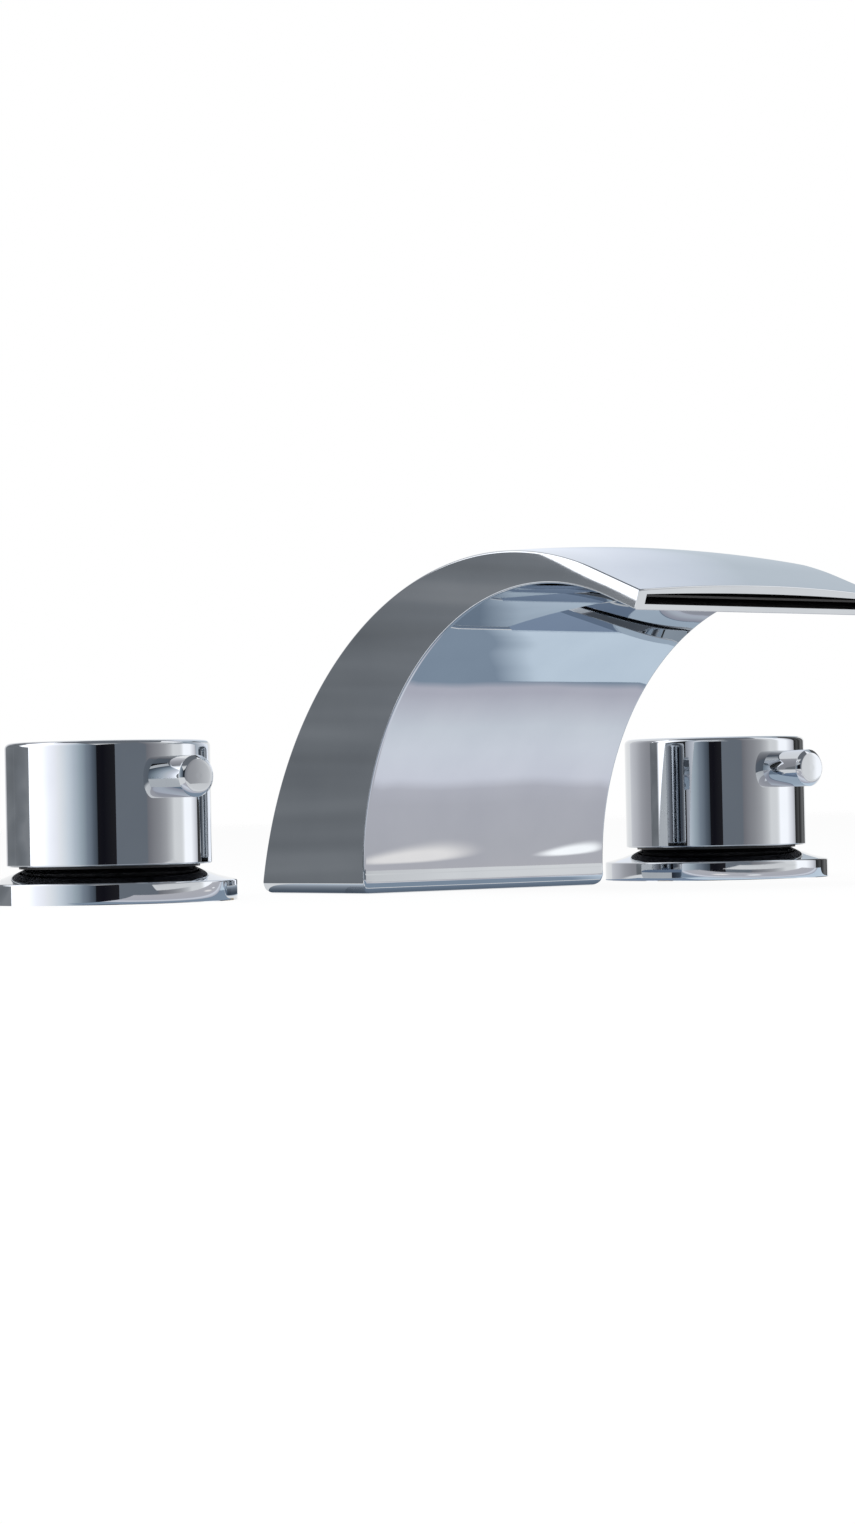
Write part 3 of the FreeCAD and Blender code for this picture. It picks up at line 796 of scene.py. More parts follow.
    def sweep_crowned(self, bench: Bench, half_width: float, rise: float, roof: float) -> None:
        """Extrude a profile across X while its roof follows a crown.

        Args:
            bench: The profile, drawn at the left side.
            half_width: Half the sweep's width.
            rise: The crown at the middle.
            roof: Height of the profile's roof over the back arc, at the left side.
        """
        step = 2 * half_width / self.stations
        for index in range(self.stations):
            x = -half_width + step * (index + 1)
            before = roof + rise - self.sag(half_width, rise, x - step)
            after = roof + rise - self.sag(half_width, rise, min(x, half_width))
            if index == 0:
                bench.pick("FACE", lambda face: True)
            bench.extrude(X_AXIS * step)
            self.lift_roof(bench, x, before, after)
            bench.faces(lambda place: abs(place.x - x) < NEAR)

    def lift_roof(self, bench: Bench, x: float, before: float, after: float) -> None:
        """Move the roof's points at one station from one height to another.

        Args:
            bench: The spout.
            x: The station.
            before: Height over the back arc that the points have.
            after: Height that they get.
        """
        def on_bend(place: Vector) -> bool:
            """On the roof over the back arc."""
            beyond = (place - self.bend_end).dot(self.along)
            level = abs(self.arc_reach(self.back_centre, place) - self.back_radius - before) < NEAR
            return abs(place.x - x) < NEAR and beyond < NEAR and level

        def on_lip(place: Vector) -> bool:
            """On the roof over the straight lip."""
            from_bend = place - self.bend_end
            level = abs(from_bend.dot(self.outward) - before) < NEAR
            return abs(place.x - x) < NEAR and from_bend.dot(self.along) >= NEAR and level

        growth = (self.back_radius + after) / (self.back_radius + before)
        bench.points(on_bend).resize((1, growth, growth), self.back_centre)
        bench.points(on_lip).move(self.outward * (after - before))

    def round_edges(self, bench: Bench) -> None:
        """Round the foot, the front and back edges and the tip, each by its own radius.

        Args:
            bench: The spout.
        """
        def at_foot(place: Vector) -> bool:
            """On the cut under the base."""
            return abs(place.z + self.base_trim) < NEAR

        def on_side(place: Vector) -> bool:
            """On the left or right wall."""
            return abs(abs(place.x) - self.half) < NEAR

        def on_front(place: Vector) -> bool:
            """On the front arc or the lip's underside."""
            if (place - self.front_end).dot(self.along) > 0:
                return abs((place - self.tip_floor).dot(self.outward)) < LOOSE
            return abs(self.arc_reach(self.front_centre, place) - self.front_radius) < LOOSE

        def on_tip(place: Vector) -> bool:
            """On the tip's face."""
            return abs((place - self.tip_top).dot(self.along)) < NEAR

        def along_back(edge: bmesh.types.BMEdge) -> bool:
            """A side's edge that is none of the others."""
            ends = [vert.co for vert in edge.verts]
            others = (at_foot, on_front, on_tip)
            return all(map(on_side, ends)) and not any(all(map(test, ends)) for test in others)

        bench.faces(on_tip)
        bpy.ops.mesh.dissolve_faces()
        bench.edges(lambda place: on_side(place) and on_front(place))
        bench.weigh(self.front_round / self.base_round)
        bench.pick("EDGE", along_back).weigh(self.back_round / self.base_round)
        bench.edges(on_tip).weigh(self.tip_round / self.base_round)
        bench.edges(at_foot).weigh(1.0)
        bench.modify("BEVEL", limit_method="WEIGHT", width=self.base_round, profile=0.5,
                     segments=self.round_segments, use_clamp_overlap=False)

    def slot_tool(self) -> Bench:
        """Shape the slot: crowned roof, flat floor, open past the tip.

        Returns:
            The tool that cuts it.
        """
        half = self.half - self.side_wall
        roof = self.crown - self.roof_wall - self.slot_crown
        length = self.slot_depth + self.overrun
        floor = self.tip_floor + self.outward * self.floor_wall - X_AXIS * half
        bench = Bench.point("slot_tool", floor - self.along * self.slot_depth)
        bench.extrude_point(self.along * length)
        bench.extrude_point(self.outward * (roof + self.tip_thickness - self.floor_wall))
        bench.extrude_point(-self.along * length)
        bench.close_outline()
        self.sweep_crowned(bench, half, self.slot_crown, roof)
        return bench.face_outwards()

    def pocket_tool(self) -> Bench:
        """Shape the pocket under the base.

        Returns:
            The tool that cuts it.
        """
        x = self.half - self.pocket_rim
        y = self.base_depth / 2 - self.pocket_rim
        bench = Bench.block("pocket_tool", Vector((-x, -y, -self.overrun)),
                            Vector((x, y, self.pocket_depth)))
        bench.pick("EDGE", lambda edge: abs((edge.verts[0].co - edge.verts[1].co).normalized().z) > STEEP)
        return bench.bevel(self.pocket_corner, self.round_segments)

    def build(self) -> Piece:
        """Model the shell.

        Returns:
            The finished shell, in the CAD node's place.
        """
        bench = self.profile()
        self.sweep_crowned(bench, self.half, self.crown, 0.0)
        bench.face_outwards().trim_below(-self.base_trim)
        self.round_edges(bench)
        bench.trim_below(0.0)
        bench.cut(self.slot_tool())
        bench.cut(self.pocket_tool())
        shell = bench.finish()
        stand_for(shell, "spout_body", "base")
        return shell

    def in_slot(self, place: Vector) -> bool:
        """Say whether a point lies on the slot's own walls, behind the tip's face.

        Args:
            place: A face's centre.

        Returns:
            True on the slot's roof, floor, sides and end.
        """
        depth = (self.tip_top - place).dot(self.along)
        over_floor = (place - self.tip_floor).dot(self.outward) > self.floor_wall - LOOSE
        roof = self.crown - self.roof_wall - self.sag(self.half, self.slot_crown, place.x)
        under_roof = (place - self.bend_end).dot(self.outward) < roof + LOOSE
        between = abs(place.x) < self.half - self.side_wall + LOOSE
        behind_tip = LOOSE < depth < self.slot_depth + LOOSE
        return between and over_floor and under_roof and behind_tip

    def dress(self, shell: Piece, finishes: Finishes) -> None:
        """Chrome the shell and dress the slot's own walls in the liner's black plastic, painted shade that
        darkens the deep slot.

        Args:
            shell: The finished shell.
            finishes: The faucet's materials.
        """
        finishes.dress(shell, Slot.CHROME)
        # Painted shade: the shell's own slot walls take black plastic, so the deep slot reads black.
        shell.data.materials.append(finishes.by_slot[Slot.BLACK_PLASTIC])
        for face in shell.data.polygons:
            face.material_index = int(self.in_slot(face.center))


@dataclass
class Handle:
    """The turned pieces of one valve above the deck: knob, lever pin and escutcheon."""

    side: Side
    knob_radius: float
    knob_low: float
    knob_top: float
    edge_round: float = 1.4 * MM
    bottom_edge: float = 0.4 * MM
    wall: float = 2.5 * MM
    top_wall: float = 4.0 * MM
    hub_radius: float = 9.0 * MM
    hub_drop: float = 10.0 * MM
    socket_radius: float = 4.1 * MM
    socket_roof: float = 0.7 * MM
    dot_gap: float = 0.05 * MM
    pin_seat: float = 0.8 * MM
    pin_chamfer: float = 1.0 * MM
    pin_ease: float = 0.12 * MM
    pin_dome: float = 0.15 * MM
    dome_rings: int = 5
    stud_radius: float = 3.0 * MM
    escutcheon_rim: float = 5.0 * MM
    cone_hollow_radius: float = 26.5 * MM
    cone_hollow_rise: float = 1.1 * MM
    escutcheon_top_radius: float = 20.5 * MM
    escutcheon_edge: float = 0.4 * MM
    escutcheon_bore: float = 16.05 * MM
    recess_outer_wall: float = 4.0 * MM
    recess_inner: float = 19.0 * MM
    recess_depth: float = 2.5 * MM
    edge_segments: int = 8
    bottom_segments: int = 3
    ease_segments: int = 2
    rim_segments: int = 4
    pin_crisp: float = 50.0
    cone_crisp: float = 20.0
    sides: int = 192
    pin_sides: int = 96

    @classmethod
    def from_frame(cls, side: Side) -> "Handle":
        """Take the knob's size from the CAD node's box."""
        low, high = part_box(side.node("knob"))
        return cls(side, (high.x - low.x) / 2, low.z, high.z)

    def __post_init__(self) -> None:
        """Note the valve's axis."""
        self.axis = self.side.axis()

    def at(self, height: float) -> Vector:
        """Point on the valve's axis."""
        return self.axis + Z_AXIS * height

    def reach(self, place: Vector) -> float:
        """Distance of a point from the valve's axis."""
        return (place - self.axis).xy.length

    def round_ring(self, bench: Bench, ring: tuple[float, float], width: float, segments: int) -> None:
        """Round an edge that runs round the axis.

        Args:
            bench: The piece.
            ring: Radius and height of the edge.
            width: How far the round reaches from it.
            segments: Number of facets across the round.
        """
        radius, height = ring
        bench.edges(lambda place: abs(self.reach(place) - radius) < NEAR and abs(place.z - height) < NEAR)
        bench.bevel(width, segments)

    def knob(self) -> Piece:
        """Model the knob: hollow below, a hub inside, a seat for the dot on top.

        Returns:
            The knob.
        """
        dot_low, dot_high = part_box(self.side.node("index_dot"))
        dot_radius = (dot_high.x - dot_low.x) / 2 + self.dot_gap
        ceiling = self.knob_top - self.top_wall
        inside = self.knob_radius - self.wall
        bench = Bench.rod(self.side.node("knob_shell"), self.knob_radius, self.at(self.knob_low),
                          self.at(self.knob_top), self.sides)
        bench.faces(lambda place: place.z > self.knob_top - NEAR)
        bench.inset(self.knob_radius - dot_radius).extrude(Z_AXIS * (dot_low.z - self.knob_top))
        bench.faces(lambda place: place.z < self.knob_low + NEAR)
        bench.inset(self.wall).extrude(Z_AXIS * (ceiling - self.knob_low))
        bench.inset(inside - self.hub_radius).extrude(Z_AXIS * -self.hub_drop)
        bench.inset(self.hub_radius - self.socket_radius)
        bench.extrude(Z_AXIS * (self.hub_drop - self.socket_roof))
        self.round_ring(bench, (self.knob_radius, self.knob_top), self.edge_round, self.edge_segments)
        self.round_ring(bench, (self.knob_radius, self.knob_low), self.bottom_edge, self.bottom_segments)
        return bench.finish()

    def lever_pin(self) -> Piece:
        """Model the lever pin: a chamfered round bar with a domed end and a stud into the knob.

        Returns:
            The pin.
        """
        low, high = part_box(self.side.node("lever_pin"))
        radius = (high.x - low.x) / 2
        height = (low.z + high.z) / 2
        seat = self.axis.y - self.knob_radius + self.pin_seat
        front = low.y + self.pin_dome
        root = Vector((self.axis.x, seat, height))
        end = Vector((self.axis.x, front, height))
        bench = Bench.rod(self.side.node("lever_pin_bar"), radius, root, end, self.pin_sides)
        bench.faces(lambda place: place.y > seat - NEAR)
        bench.inset(radius - self.stud_radius).extrude(Y_AXIS * (high.y - seat))
        bench.edges(lambda place: place.y < front + NEAR).bevel(self.pin_chamfer, 1)
        for edge in (front, front + self.pin_chamfer):
            bench.edges(lambda place: abs(place.y - edge) < NEAR).bevel(self.pin_ease, self.ease_segments)
        self.dome_end(bench, radius - self.pin_chamfer)
        return bench.finish(self.pin_crisp)

    def dome_end(self, bench: Bench, radius: float) -> None:
        """Swell the bar's flat end into a shallow dome.

        Args:
            bench: The bar.
            radius: Radius of its end face.
        """
        bench.pick("FACE", lambda face: len(face.verts) == self.pin_sides and face.normal.y < -STEEP)
        step = 1 / (self.dome_rings + 1)
        for ring in range(self.dome_rings):
            outer, inner = 1 - ring * step, 1 - (ring + 1) * step
            bench.inset(radius * step).move(Y_AXIS * -self.pin_dome * (outer**2 - inner**2))

    def escutcheon(self) -> Piece:
        """Model the escutcheon: a rim, a shallow, slightly hollow cone, a bore, and a recess below.

        Returns:
            The escutcheon.
        """
        low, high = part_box(self.side.node("escutcheon"))
        radius = (high.x - low.x) / 2
        bench = Bench.rod(self.side.node("escutcheon_cover"), radius, self.at(0),
                          self.at(self.escutcheon_rim), self.sides)
        bench.faces(lambda place: place.z > self.escutcheon_rim - NEAR)
        hollow = self.escutcheon_rim + self.cone_hollow_rise
        taper = self.cone_hollow_radius / radius
        bench.extrude(Z_AXIS * self.cone_hollow_rise).resize((taper, taper, 1), self.at(hollow))
        taper = self.escutcheon_top_radius / self.cone_hollow_radius
        bench.extrude(Z_AXIS * (high.z - hollow)).resize((taper, taper, 1), self.at(high.z))
        bench.inset(self.escutcheon_top_radius - self.escutcheon_bore)
        bench.faces(lambda place: place.z < NEAR).inset(self.recess_outer_wall)
        bench.inset(radius - self.recess_outer_wall - self.recess_inner)
        bench.inset(self.recess_inner - self.escutcheon_bore)
        self.sink_recess(bench, radius - self.recess_outer_wall)
        bench.pick("FACE", lambda face: len(face.verts) == self.sides).bridge()
        self.round_ring(bench, (radius, self.escutcheon_rim), self.escutcheon_edge, self.rim_segments)
        return bench.finish(self.cone_crisp)

    def sink_recess(self, bench: Bench, outer: float) -> None:
        """Press the gasket's ring into the escutcheon's underside.

        Args:
            bench: The escutcheon.
            outer: Outer radius of the ring.
        """
        def in_recess(face: bmesh.types.BMFace) -> bool:
            """A four-sided face of the ring."""
            return len(face.verts) == 4 and all(
                vert.co.z < NEAR and self.recess_inner - NEAR < self.reach(vert.co) < outer + NEAR
                for vert in face.verts)

        bench.pick("FACE", in_recess)
        bench.extrude(Z_AXIS * self.recess_depth)

    def build(self) -> dict[str, Piece]:
        """Model the three pieces, each under the last part of its node's name."""
        return {"knob": self.knob(), "lever_pin": self.lever_pin(), "escutcheon": self.escutcheon()}

    def dress(self, pieces: dict[str, Piece], finishes: Finishes) -> None:
        """Chrome the pieces, make the knob's inside and underside dark cast metal, painted shade for the
        gap, and put them on their bodies.

        Args:
            pieces: The pieces by the last part of their nodes' names.
            finishes: The faucet's materials.
        """
        for name, piece in pieces.items():
            finishes.dress(piece, Slot.CHROME)
            body = "base" if name == "escutcheon" else self.side.handle()
            stand_for(piece, self.side.node(name), body)
        knob = pieces["knob"]
        # Painted shade: the knob's inside and underside take the dark cast-metal material so the gap reads
        # dark.
        knob.data.materials.append(finishes.casting)
        inside = self.knob_radius - self.wall + NEAR
        for face in knob.data.polygons:
            below_top = face.center.z < self.knob_top - self.top_wall + NEAR
            underside = face.center.z < self.knob_low + NEAR
            if underside or (self.reach(face.center) < inside and below_top):
                face.material_index = 1


@dataclass(frozen=True)
class Thread:
    """A screw thread on a round bar, cut as a row of V grooves along a run."""

    radius: float
    start: Vector
    run: Vector
    pitch: float = 1.5 * MM
    depth: float = 0.55 * MM
    stand_off: float = 0.06 * MM
    sides: int = 54
    flats: int = 4

    def tool(self) -> Bench:
        """Shape the grooves: a ring with a square section on its corner, repeated along the run.

        Returns:
            The tool that cuts them.
        """
        step = self.run.normalized() * self.pitch
        tool = Bench("thread_tool", bpy.ops.mesh.primitive_torus_add, location=self.start + step,
                     rotation=step.to_track_quat("Z", "Y").to_euler(), major_segments=self.sides,
                     minor_segments=self.flats, major_radius=self.radius + self.stand_off,
                     minor_radius=self.depth)
        return tool.modify("ARRAY", count=int(self.run.length / self.pitch) - 1, use_relative_offset=False,
                           use_constant_offset=True, constant_offset_displace=step)


@dataclass
class Plumbing:
    """The brass shanks under the deck, which get their threads: the spout's and the valves'."""

    shank_top: float = -1.0 * MM
    spout_shank_radius: float = 13.22 * MM
    spout_shank_end: float = -36.5 * MM
    valve_shank_radius: float = 16.0 * MM
    valve_shank_end: float = -37.5 * MM
    valve_block_end: float = -59.0 * MM
    inlet_radius: float = 10.478 * MM
    outlet_radius: float = 8.33 * MM
    outlet_height: float = -48.0 * MM
    outlet_start: float = 18.0 * MM

    @staticmethod
    def upright(axis: Vector, radius: float, top: float, bottom: float) -> Thread:
        """Thread down an axis from one height to another."""
        return Thread(radius, axis + Z_AXIS * top, Z_AXIS * (bottom - top))

    def threaded(self, node: str, threads: Sequence[Thread]) -> Piece:
        """Cut threads into a copy of a CAD node.

        Args:
            node: The node.
            threads: Its threads.

        Returns:
            The finished piece.
        """
        bench = Bench.node_copy(f"{node}_threaded", node)
        for thread in threads:
            bench.cut(thread.tool())
        return bench.finish()

    def spout_shank(self) -> Piece:
        """Thread the spout's shank and its inlet.

        Returns:
            The threaded shank.
        """
        low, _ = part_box("spout_shank")
        foot = Vector((0, 0, 0))
        return self.threaded("spout_shank", [
            self.upright(foot, self.spout_shank_radius, self.shank_top, self.spout_shank_end),
            self.upright(foot, self.inlet_radius, self.spout_shank_end, low.z)])

    def valve_body(self, side: Side) -> Piece:
        """Thread a valve's shank, its inlet and its outlet.

        Args:
            side: The valve.

        Returns:
            The threaded body.
        """
        low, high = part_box(side.node("valve_body"))
        axis = side.axis()
        outlet = axis + Vector((0, self.outlet_start, self.outlet_height))
        return self.threaded(side.node("valve_body"), [
            self.upright(axis, self.valve_shank_radius, self.shank_top, self.valve_shank_end),
            self.upright(axis, self.inlet_radius, self.valve_block_end, low.z),
            Thread(self.outlet_radius, outlet, Y_AXIS * (high.y - outlet.y))])

    def build(self, finishes: Finishes) -> None:
        """Make the shanks, dress them in brass and put them in their nodes' places.

        Args:
            finishes: The faucet's materials.
        """
        pieces = {"spout_shank": self.spout_shank()}
        for side in Side:
            pieces[side.node("valve_body")] = self.valve_body(side)
        for node, piece in pieces.items():
            finishes.dress(piece, Slot.BRASS)
            stand_for(piece, node, "base")


def dress_nodes(finishes: Finishes) -> None:
    """Give every CAD node that stays the material of its slot.

    Args:
        finishes: The faucet's materials.
    """
    for part in frame["record"]["subparts"]:
        node = frame["nodes"][part["node"]]
        if not node.hide_render:
            finishes.dress(node, Slot(part["material_slot"]))
            LOG.info("%s: CAD node in %s", part["node"], part["material_slot"])


@dataclass(frozen=True)
class Card:
    """A studio card between two plan points, which only mirrors see: upright, or flat at one height.

    Its tones run from start to end by the share drift, and waves stir them. An upright card goes from low
    to high, and its top falls by slant towards the end; a flat one is as wide as width and lies at the
    height low. A soft one is a round glow, and one with a trail fades out over that last share of its run.
    """

    name: str
    start: tuple[float, float]
    end: tuple[float, float]
    tones: Stops
    low: float = -0.4
    high: float = 0.9
    slant: float = 0.0
    width: float = 0.0
    drift: float = 1.0
    waves: float = 0.0
    wave_stretch: Triple = (1.0, 1.0, 1.0)
    soft: bool = False
    soft_rim: tuple[float, float] = (0.2, 0.5)
    trail: float = 0.0

    def material(self) -> bpy.types.Material:
        """Light the card along its length.

        Returns:
            The card's material.
        """
        material, graph = new_graph(self.name)
        share = graph.node("ShaderNodeSeparateXYZ", sockets={0: graph.place()}, output="X") + 0.5
        along = (share - 0.5) * self.drift + 0.5
        if self.waves:
            along = along + (graph.noise(1.0, stretch=self.wave_stretch) - 0.5) * self.waves
        light = graph.glow(graph.ramp(along, self.tones))
        if self.soft:
            light = graph.vanish(light, graph.fade(graph.spread(), *self.soft_rim))
        elif self.trail:
            light = graph.vanish(light, graph.fade(share, 1 - self.trail, 1.0))
        graph.surface(light)
        return material

    def build(self) -> None:
        """Set the card up where only mirrors see it."""
        start, end = Vector((*self.start, 0)), Vector((*self.end, 0))
        run = end - start
        breadth = self.width or self.high - self.low
        middle = self.low if self.width else (self.low + self.high) / 2
        empty_hands()
        bpy.ops.mesh.primitive_plane_add(size=1, location=(start + end) / 2 + Z_AXIS * middle)
        card = bpy.context.active_object
        card.name = self.name
        card.rotation_euler = (0 if self.width else math.pi / 2, 0, math.atan2(run.y, run.x))
        card.scale = (run.length, breadth, 1)
        for corner in card.data.vertices:
            if corner.co.x > 0 and corner.co.y > 0:
                corner.co.y -= self.slant / breadth
        card.data.materials.append(self.material())
        for ray in ("camera", "diffuse", "shadow", "transmission"):
            setattr(card, f"visible_{ray}", False)
        LOG.info("%s: studio card", self.name)


def grey(level: float, cool: float = 1.0) -> Colour:
    """Grey tone, its blue raised by a factor."""
    return (level, level, level * cool)


def even(tone: Colour) -> Stops:
    """Stops of a card that has one tone."""
    return [(0.0, tone), (1.0, tone)]


@dataclass
class Studio:
    """Pale floor, white surround, cards for the chrome to mirror, and the camera."""

    focal_pixels: float = 3600.0
    frame_height: float = 1524.0
    sensor: float = 36.0
    position: Triple = (-0.59261, -0.73166, 0.02191)
    yaw: float = math.radians(38.94)
    pitch: float = math.radians(-0.69)
    roll: float = math.radians(1.17)
    floor_radius: float = 5.2
    floor_fade: float = 2.6
    floor_sides: int = 96
    mirror_graze: tuple[float, float] = (0.86, 0.94)
    mirror_clear: tuple[float, float] = (0.06, 0.075)
    floor_tone: Colour = (0.86, 0.87, 0.89)
    floor_lift: float = 0.92
    ambient: float = 0.75
    ceiling: tuple[float, float] = (0.62, 0.74)
    ceiling_tone: Colour = (0.2, 0.215, 0.24)
    key_power: float = 9.0
    key_size: float = 0.7
    key_place: Triple = (-0.5, -0.5, 1.1)
    key_aim: Triple = (0.0, 0.0, 0.03)

    def cards(self) -> list[Card]:
        """Place the upright cards so that both knobs and the spout mirror them as photographed.

        Returns:
            The cards, from the right of the back round by the left.
        """
        bright = grey(2.0, 1.03)
        wall_right, wall_left, back_left = (-0.211, 0.277), (-0.53, 0.375), (-0.545, 0.42)
        left_soft, black_left, black_right = (-0.601, -0.007), (-1.609, -1.436), (-0.598, -1.019)
        grey_right, right_soft, right_end = (-0.01, -0.66), (0.461, -0.60), (0.435, -0.085)
        dusk, corner = (0.195, 0.22, 0.255), (1.19, 1.2, 1.23)
        wall = [(0.0, (0.207, 0.22, 0.236)), (0.42, (0.24, 0.255, 0.275)), (0.83, (0.30, 0.312, 0.33))]
        strip = [(0.0, (0.165, 0.176, 0.19)), (0.5, (0.211, 0.225, 0.242)), (1.0, (0.262, 0.277, 0.295))]
        streaks = {"waves": 2.6, "wave_stretch": (0.4, 40.0, 1.0)}
        return [
            Card("pale_wall", (0.10, 0.50), wall_right,
                 [(0.0, grey(0.9, 1.03)), (0.09, grey(0.8, 1.04)), (0.43, grey(0.66, 1.05)),
                  (0.665, grey(0.49, 1.06)), (0.857, grey(0.40, 1.07)), (1.0, grey(0.36, 1.07))]),
            Card("dark_wall", wall_right, wall_left, wall, high=0.1634, slant=0.07, **streaks),
            Card("dark_strip", (-0.092, 0.15), (-0.21, 0.15), strip, high=0.15, drift=0.0, trail=0.45,
                 **streaks),
            Card("back_softbox", (-0.19, 0.40), back_left, even(bright)),
            Card("left_softbox", back_left, left_soft,
                 [(0.0, bright), (0.575, grey(1.7, 1.04)), (0.752, grey(1.43, 1.05)),
                  (0.913, grey(1.28, 1.05)), (1.0, corner)]),
            Card("left_sweep", left_soft, black_left,
                 [(0.0, corner), (0.0226, (1.1, 1.13, 1.17)), (0.0773, (0.9, 0.97, 1.04)),
                  (0.147, (0.68, 0.75, 0.83)), (0.244, (0.48, 0.56, 0.62)), (0.3955, (0.27, 0.32, 0.38)),
                  (0.66, (0.135, 0.165, 0.205)), (1.0, (0.06, 0.075, 0.095))]),
            Card("black_card", black_left, black_right,
                 [(0.0, grey(0.012, 1.3)), (0.5, grey(0.009, 1.5)), (1.0, grey(0.02, 1.2))]),
            Card("grey_card", black_right, grey_right, even(dusk)),
            Card("grey_sweep", grey_right, right_soft,
                 [(0.0, dusk), (0.05, grey(0.24, 1.1)), (0.2, grey(0.31, 1.07)), (0.4, grey(0.39, 1.05)),
                  (0.62, grey(0.52, 1.03)), (0.85, grey(0.76, 1.01)), (1.0, grey(0.99))]),
            Card("right_softbox", right_soft, right_end,
                 [(0.0, grey(0.99)), (0.34, grey(1.0)), (0.42, grey(1.1)), (0.52, grey(1.5, 1.02)),
                  (0.76, grey(1.47, 1.02)), (0.924, grey(0.95, 1.05)), (1.0, grey(0.6, 1.05))]),
            Card("dark_right", right_end, (0.40, 0.12),
                 [(0.0, grey(0.02)), (0.3, grey(0.1)), (0.4, grey(0.03)), (0.7, grey(0.2)),
                  (1.0, grey(0.06))]),
        ]

    def boards(self) -> list[Card]:
        """Place the flat cards: one overhead for the spout's roof, the rest on the deck about the set,
        among them painted shadows and highlights for the mirrors.

        Returns:
            The cards.
        """
        shade, sky, pale = (0.31, 0.39, 0.49), (0.76, 0.88, 1.0), (0.64, 0.635, 0.72)
        night, gloom = (0.04, 0.05, 0.07), (0.10, 0.13, 0.17)
        # Painted floor light and shade for mirrors: the spout's shadow at the near end, a pale lit band,
        # then a duller band further out.
        paper = [(0.0, shade), (0.016, pale), (0.029, pale),
                 (0.058, (0.75, 0.76, 0.84)), (0.09, (0.87, 0.91, 0.98)), (0.122, (0.92, 0.95, 1.03)),
                 (0.158, (0.91, 0.92, 1.01)), (0.172, (0.68, 0.675, 0.74)), (0.195, (0.64, 0.635, 0.69)),
                 (0.31, (0.63, 0.625, 0.67)), (1.0, (0.66, 0.645, 0.68))]
        canopy = [(0.0, (0.52, 0.58, 0.64)), (0.35, (0.62, 0.69, 0.76)), (0.41, (0.78, 0.84, 0.94)),
                  (0.47, (0.93, 0.98, 1.08)), (0.62, (1.0, 1.02, 1.06)), (1.0, (1.03, 1.03, 1.03))]
        return [
            Card("canopy", (0.93, 0.49), (0.37, 0.91), canopy, low=0.35, width=1.7),
            Card("paper", (0.06, -0.045), (0.06, -0.14), paper, low=0.15 * MM, width=0.40,
                 waves=0.02, wave_stretch=(0.3, 12.0, 1.0)),
            # Painted shadows on the deck, seen only in mirrors: under the arch, under the spout's foot and
            # beside its base; under_arch turns to a painted lit blue further right.
            Card("under_arch", (-0.14, -0.034), (0.26, -0.034),
                 [(0.0, shade), (0.43, shade), (0.467, sky), (1.0, sky)], low=0.15 * MM, width=0.022,
                 waves=0.04, wave_stretch=(1.0, 2.0, 1.0)),
            Card("foot_shade", (0.0, -0.012), (0.0, -0.0225),
                 [(0.0, night), (0.7, gloom), (1.0, (0.25, 0.32, 0.42))],
                 low=0.2 * MM, width=0.084),
            Card("left_foot_shade", (-0.03, 0.0), (-0.05, 0.0),
                 [(0.0, night), (0.45, gloom), (0.7, (0.5, 0.55, 0.62)), (1.0, sky)],
                 low=0.2 * MM, width=0.041),
            Card("side_shade", (0.042, 0.0), (0.10, 0.0), even((0.27, 0.35, 0.48)),
                 low=0.15 * MM, width=0.048),
            # Painted highlights: two soft glowing spots on the deck, which the concave face mirrors as
            # lamp glints.
            Card("cream_glow", (0.004, -0.087), (0.052, -0.087), even((1.18, 1.13, 1.1)),
                 low=0.25 * MM, width=0.032, soft=True),
            Card("white_glow", (0.07, -0.084), (0.098, -0.084), even(grey(1.5)),
                 low=0.25 * MM, width=0.02, soft=True),
            Card("front_board", (0.12, -0.23), (0.12, -0.48), [(0.0, grey(0.95)), (1.0, grey(0.9))],
                 low=0.2 * MM, width=0.4),
        ]

    def floor(self) -> None:
        """Lay the pale deck: it takes the shadow, fades out to the surround, and is clear from below."""
        empty_hands()
        bpy.ops.mesh.primitive_circle_add(vertices=self.floor_sides, radius=self.floor_radius,
                                          fill_type="NGON")
        floor = bpy.context.active_object
        floor.name = "floor"
        material, graph = new_graph("floor")
        matt = graph.node("ShaderNodeBsdfDiffuse", sockets={"Color": self.floor_tone})
        seen, mirrors = graph.rays()
        lifted = graph.node("ShaderNodeMixShader",
                            sockets={0: seen * self.floor_lift, 1: matt, 2: graph.glow(WHITE)})
        spread = graph.spread()
        faded = graph.fade(spread, self.floor_fade, self.floor_radius)
        graze = graph.node("ShaderNodeLayerWeight", sockets={"Blend": 0.5}, output="Facing")
        mirrored = graph.fade(graze, *self.mirror_graze) * graph.fade(spread, *self.mirror_clear) * mirrors
        under = graph.node("ShaderNodeNewGeometry", output="Backfacing")
        graph.surface(graph.vanish(lifted, faded | mirrored | under))
        floor.data.materials.append(material)

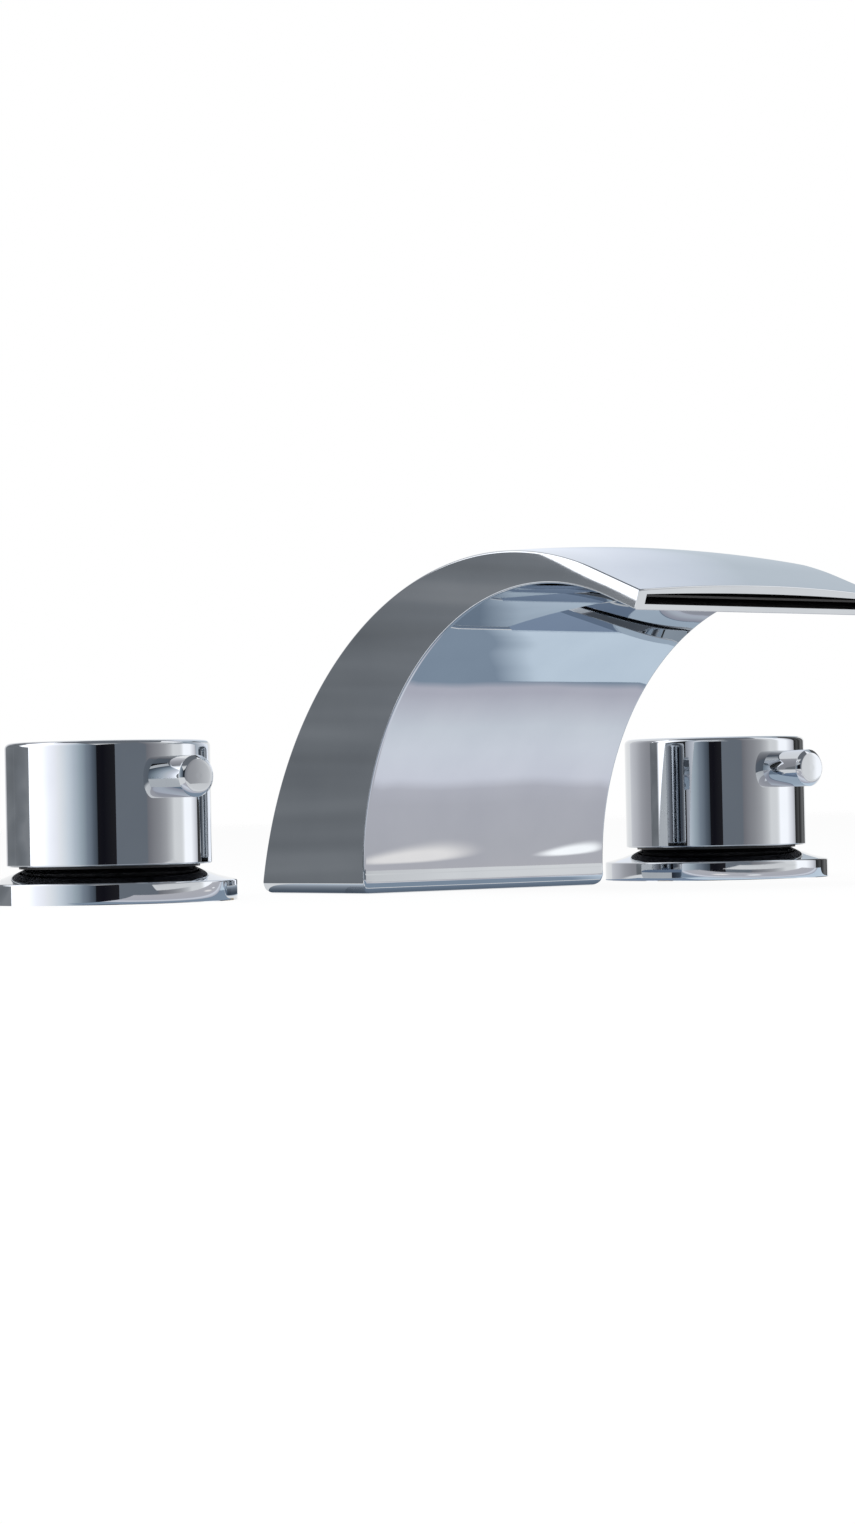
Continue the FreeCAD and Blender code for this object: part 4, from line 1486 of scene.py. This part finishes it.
    def surround(self) -> None:
        """White all round for the camera and for mirrors, and soft light for the rest."""
        world = bpy.data.worlds.new("surround")
        bpy.context.scene.world = world
        world.use_nodes = True
        graph = Graph(world.node_tree)
        seen, mirrors = graph.rays()
        strength = self.ambient + seen * (1.0 - self.ambient)
        height = graph.node("ShaderNodeSeparateXYZ", sockets={
            0: graph.node("ShaderNodeTexCoord", output="Generated")}, output="Z")
        overhead = graph.fade(height, *self.ceiling) * mirrors
        tone = graph.node("ShaderNodeMix", {"data_type": "RGBA"},
                          {"Factor": overhead, "A": WHITE, "B": self.ceiling_tone}, "Result")
        light = graph.node("ShaderNodeBackground", sockets={"Color": tone, "Strength": strength})
        graph.node("ShaderNodeOutputWorld", sockets={"Surface": light})

    def key(self) -> None:
        """Hang a soft lamp over the front left."""
        bpy.ops.object.light_add(type="AREA", location=self.key_place)
        lamp = bpy.context.active_object
        lamp.name = "key"
        lamp.data.energy = self.key_power
        lamp.data.size = self.key_size
        lamp.visible_glossy = False
        aim = Vector(self.key_aim) - lamp.location
        lamp.rotation_euler = aim.to_track_quat("-Z", "Y").to_euler()

    def camera(self) -> None:
        """Set the camera at the photograph's place and angle."""
        ahead = Vector((math.sin(self.yaw), math.cos(self.yaw), 0))
        level = Vector((math.cos(self.yaw), -math.sin(self.yaw), 0))
        facing = ahead * math.cos(self.pitch) - Z_AXIS * math.sin(self.pitch)
        down = facing.cross(level)
        right = level * math.cos(self.roll) + down * math.sin(self.roll)
        up = level * math.sin(self.roll) - down * math.cos(self.roll)
        data = bpy.data.cameras.new("camera")
        data.sensor_width = self.sensor
        data.lens = self.focal_pixels / self.frame_height * self.sensor
        camera = bpy.data.objects.new("camera", data)
        turn = Matrix((right, up, -facing)).transposed().to_4x4()
        camera.matrix_world = Matrix.Translation(self.position) @ turn
        bpy.context.collection.objects.link(camera)
        bpy.context.scene.camera = camera

    def build(self) -> None:
        """Set up the whole studio."""
        bpy.context.scene.view_settings.view_transform = "Standard"
        self.camera()
        self.surround()
        self.floor()
        self.key()
        for card in self.cards() + self.boards():
            card.build()


def main() -> None:
    """Build and dress the faucet, set up the studio, and log what is made."""
    logging.basicConfig(level=logging.INFO, format="%(message)s")
    finishes = Finishes()
    spout = Spout.from_frame()
    spout.dress(spout.build(), finishes)
    first = Handle.from_frame(Side.HOT)
    made = first.build()
    other = Handle.from_frame(Side.COLD)
    shift = other.axis - first.axis
    copies = {name: copy_piece(piece, piece.name.replace(Side.HOT.value, Side.COLD.value), shift)
              for name, piece in made.items()}
    first.dress(made, finishes)
    other.dress(copies, finishes)
    Plumbing().build(finishes)
    dress_nodes(finishes)
    Studio().build()


if __name__ == "__main__":
    main()
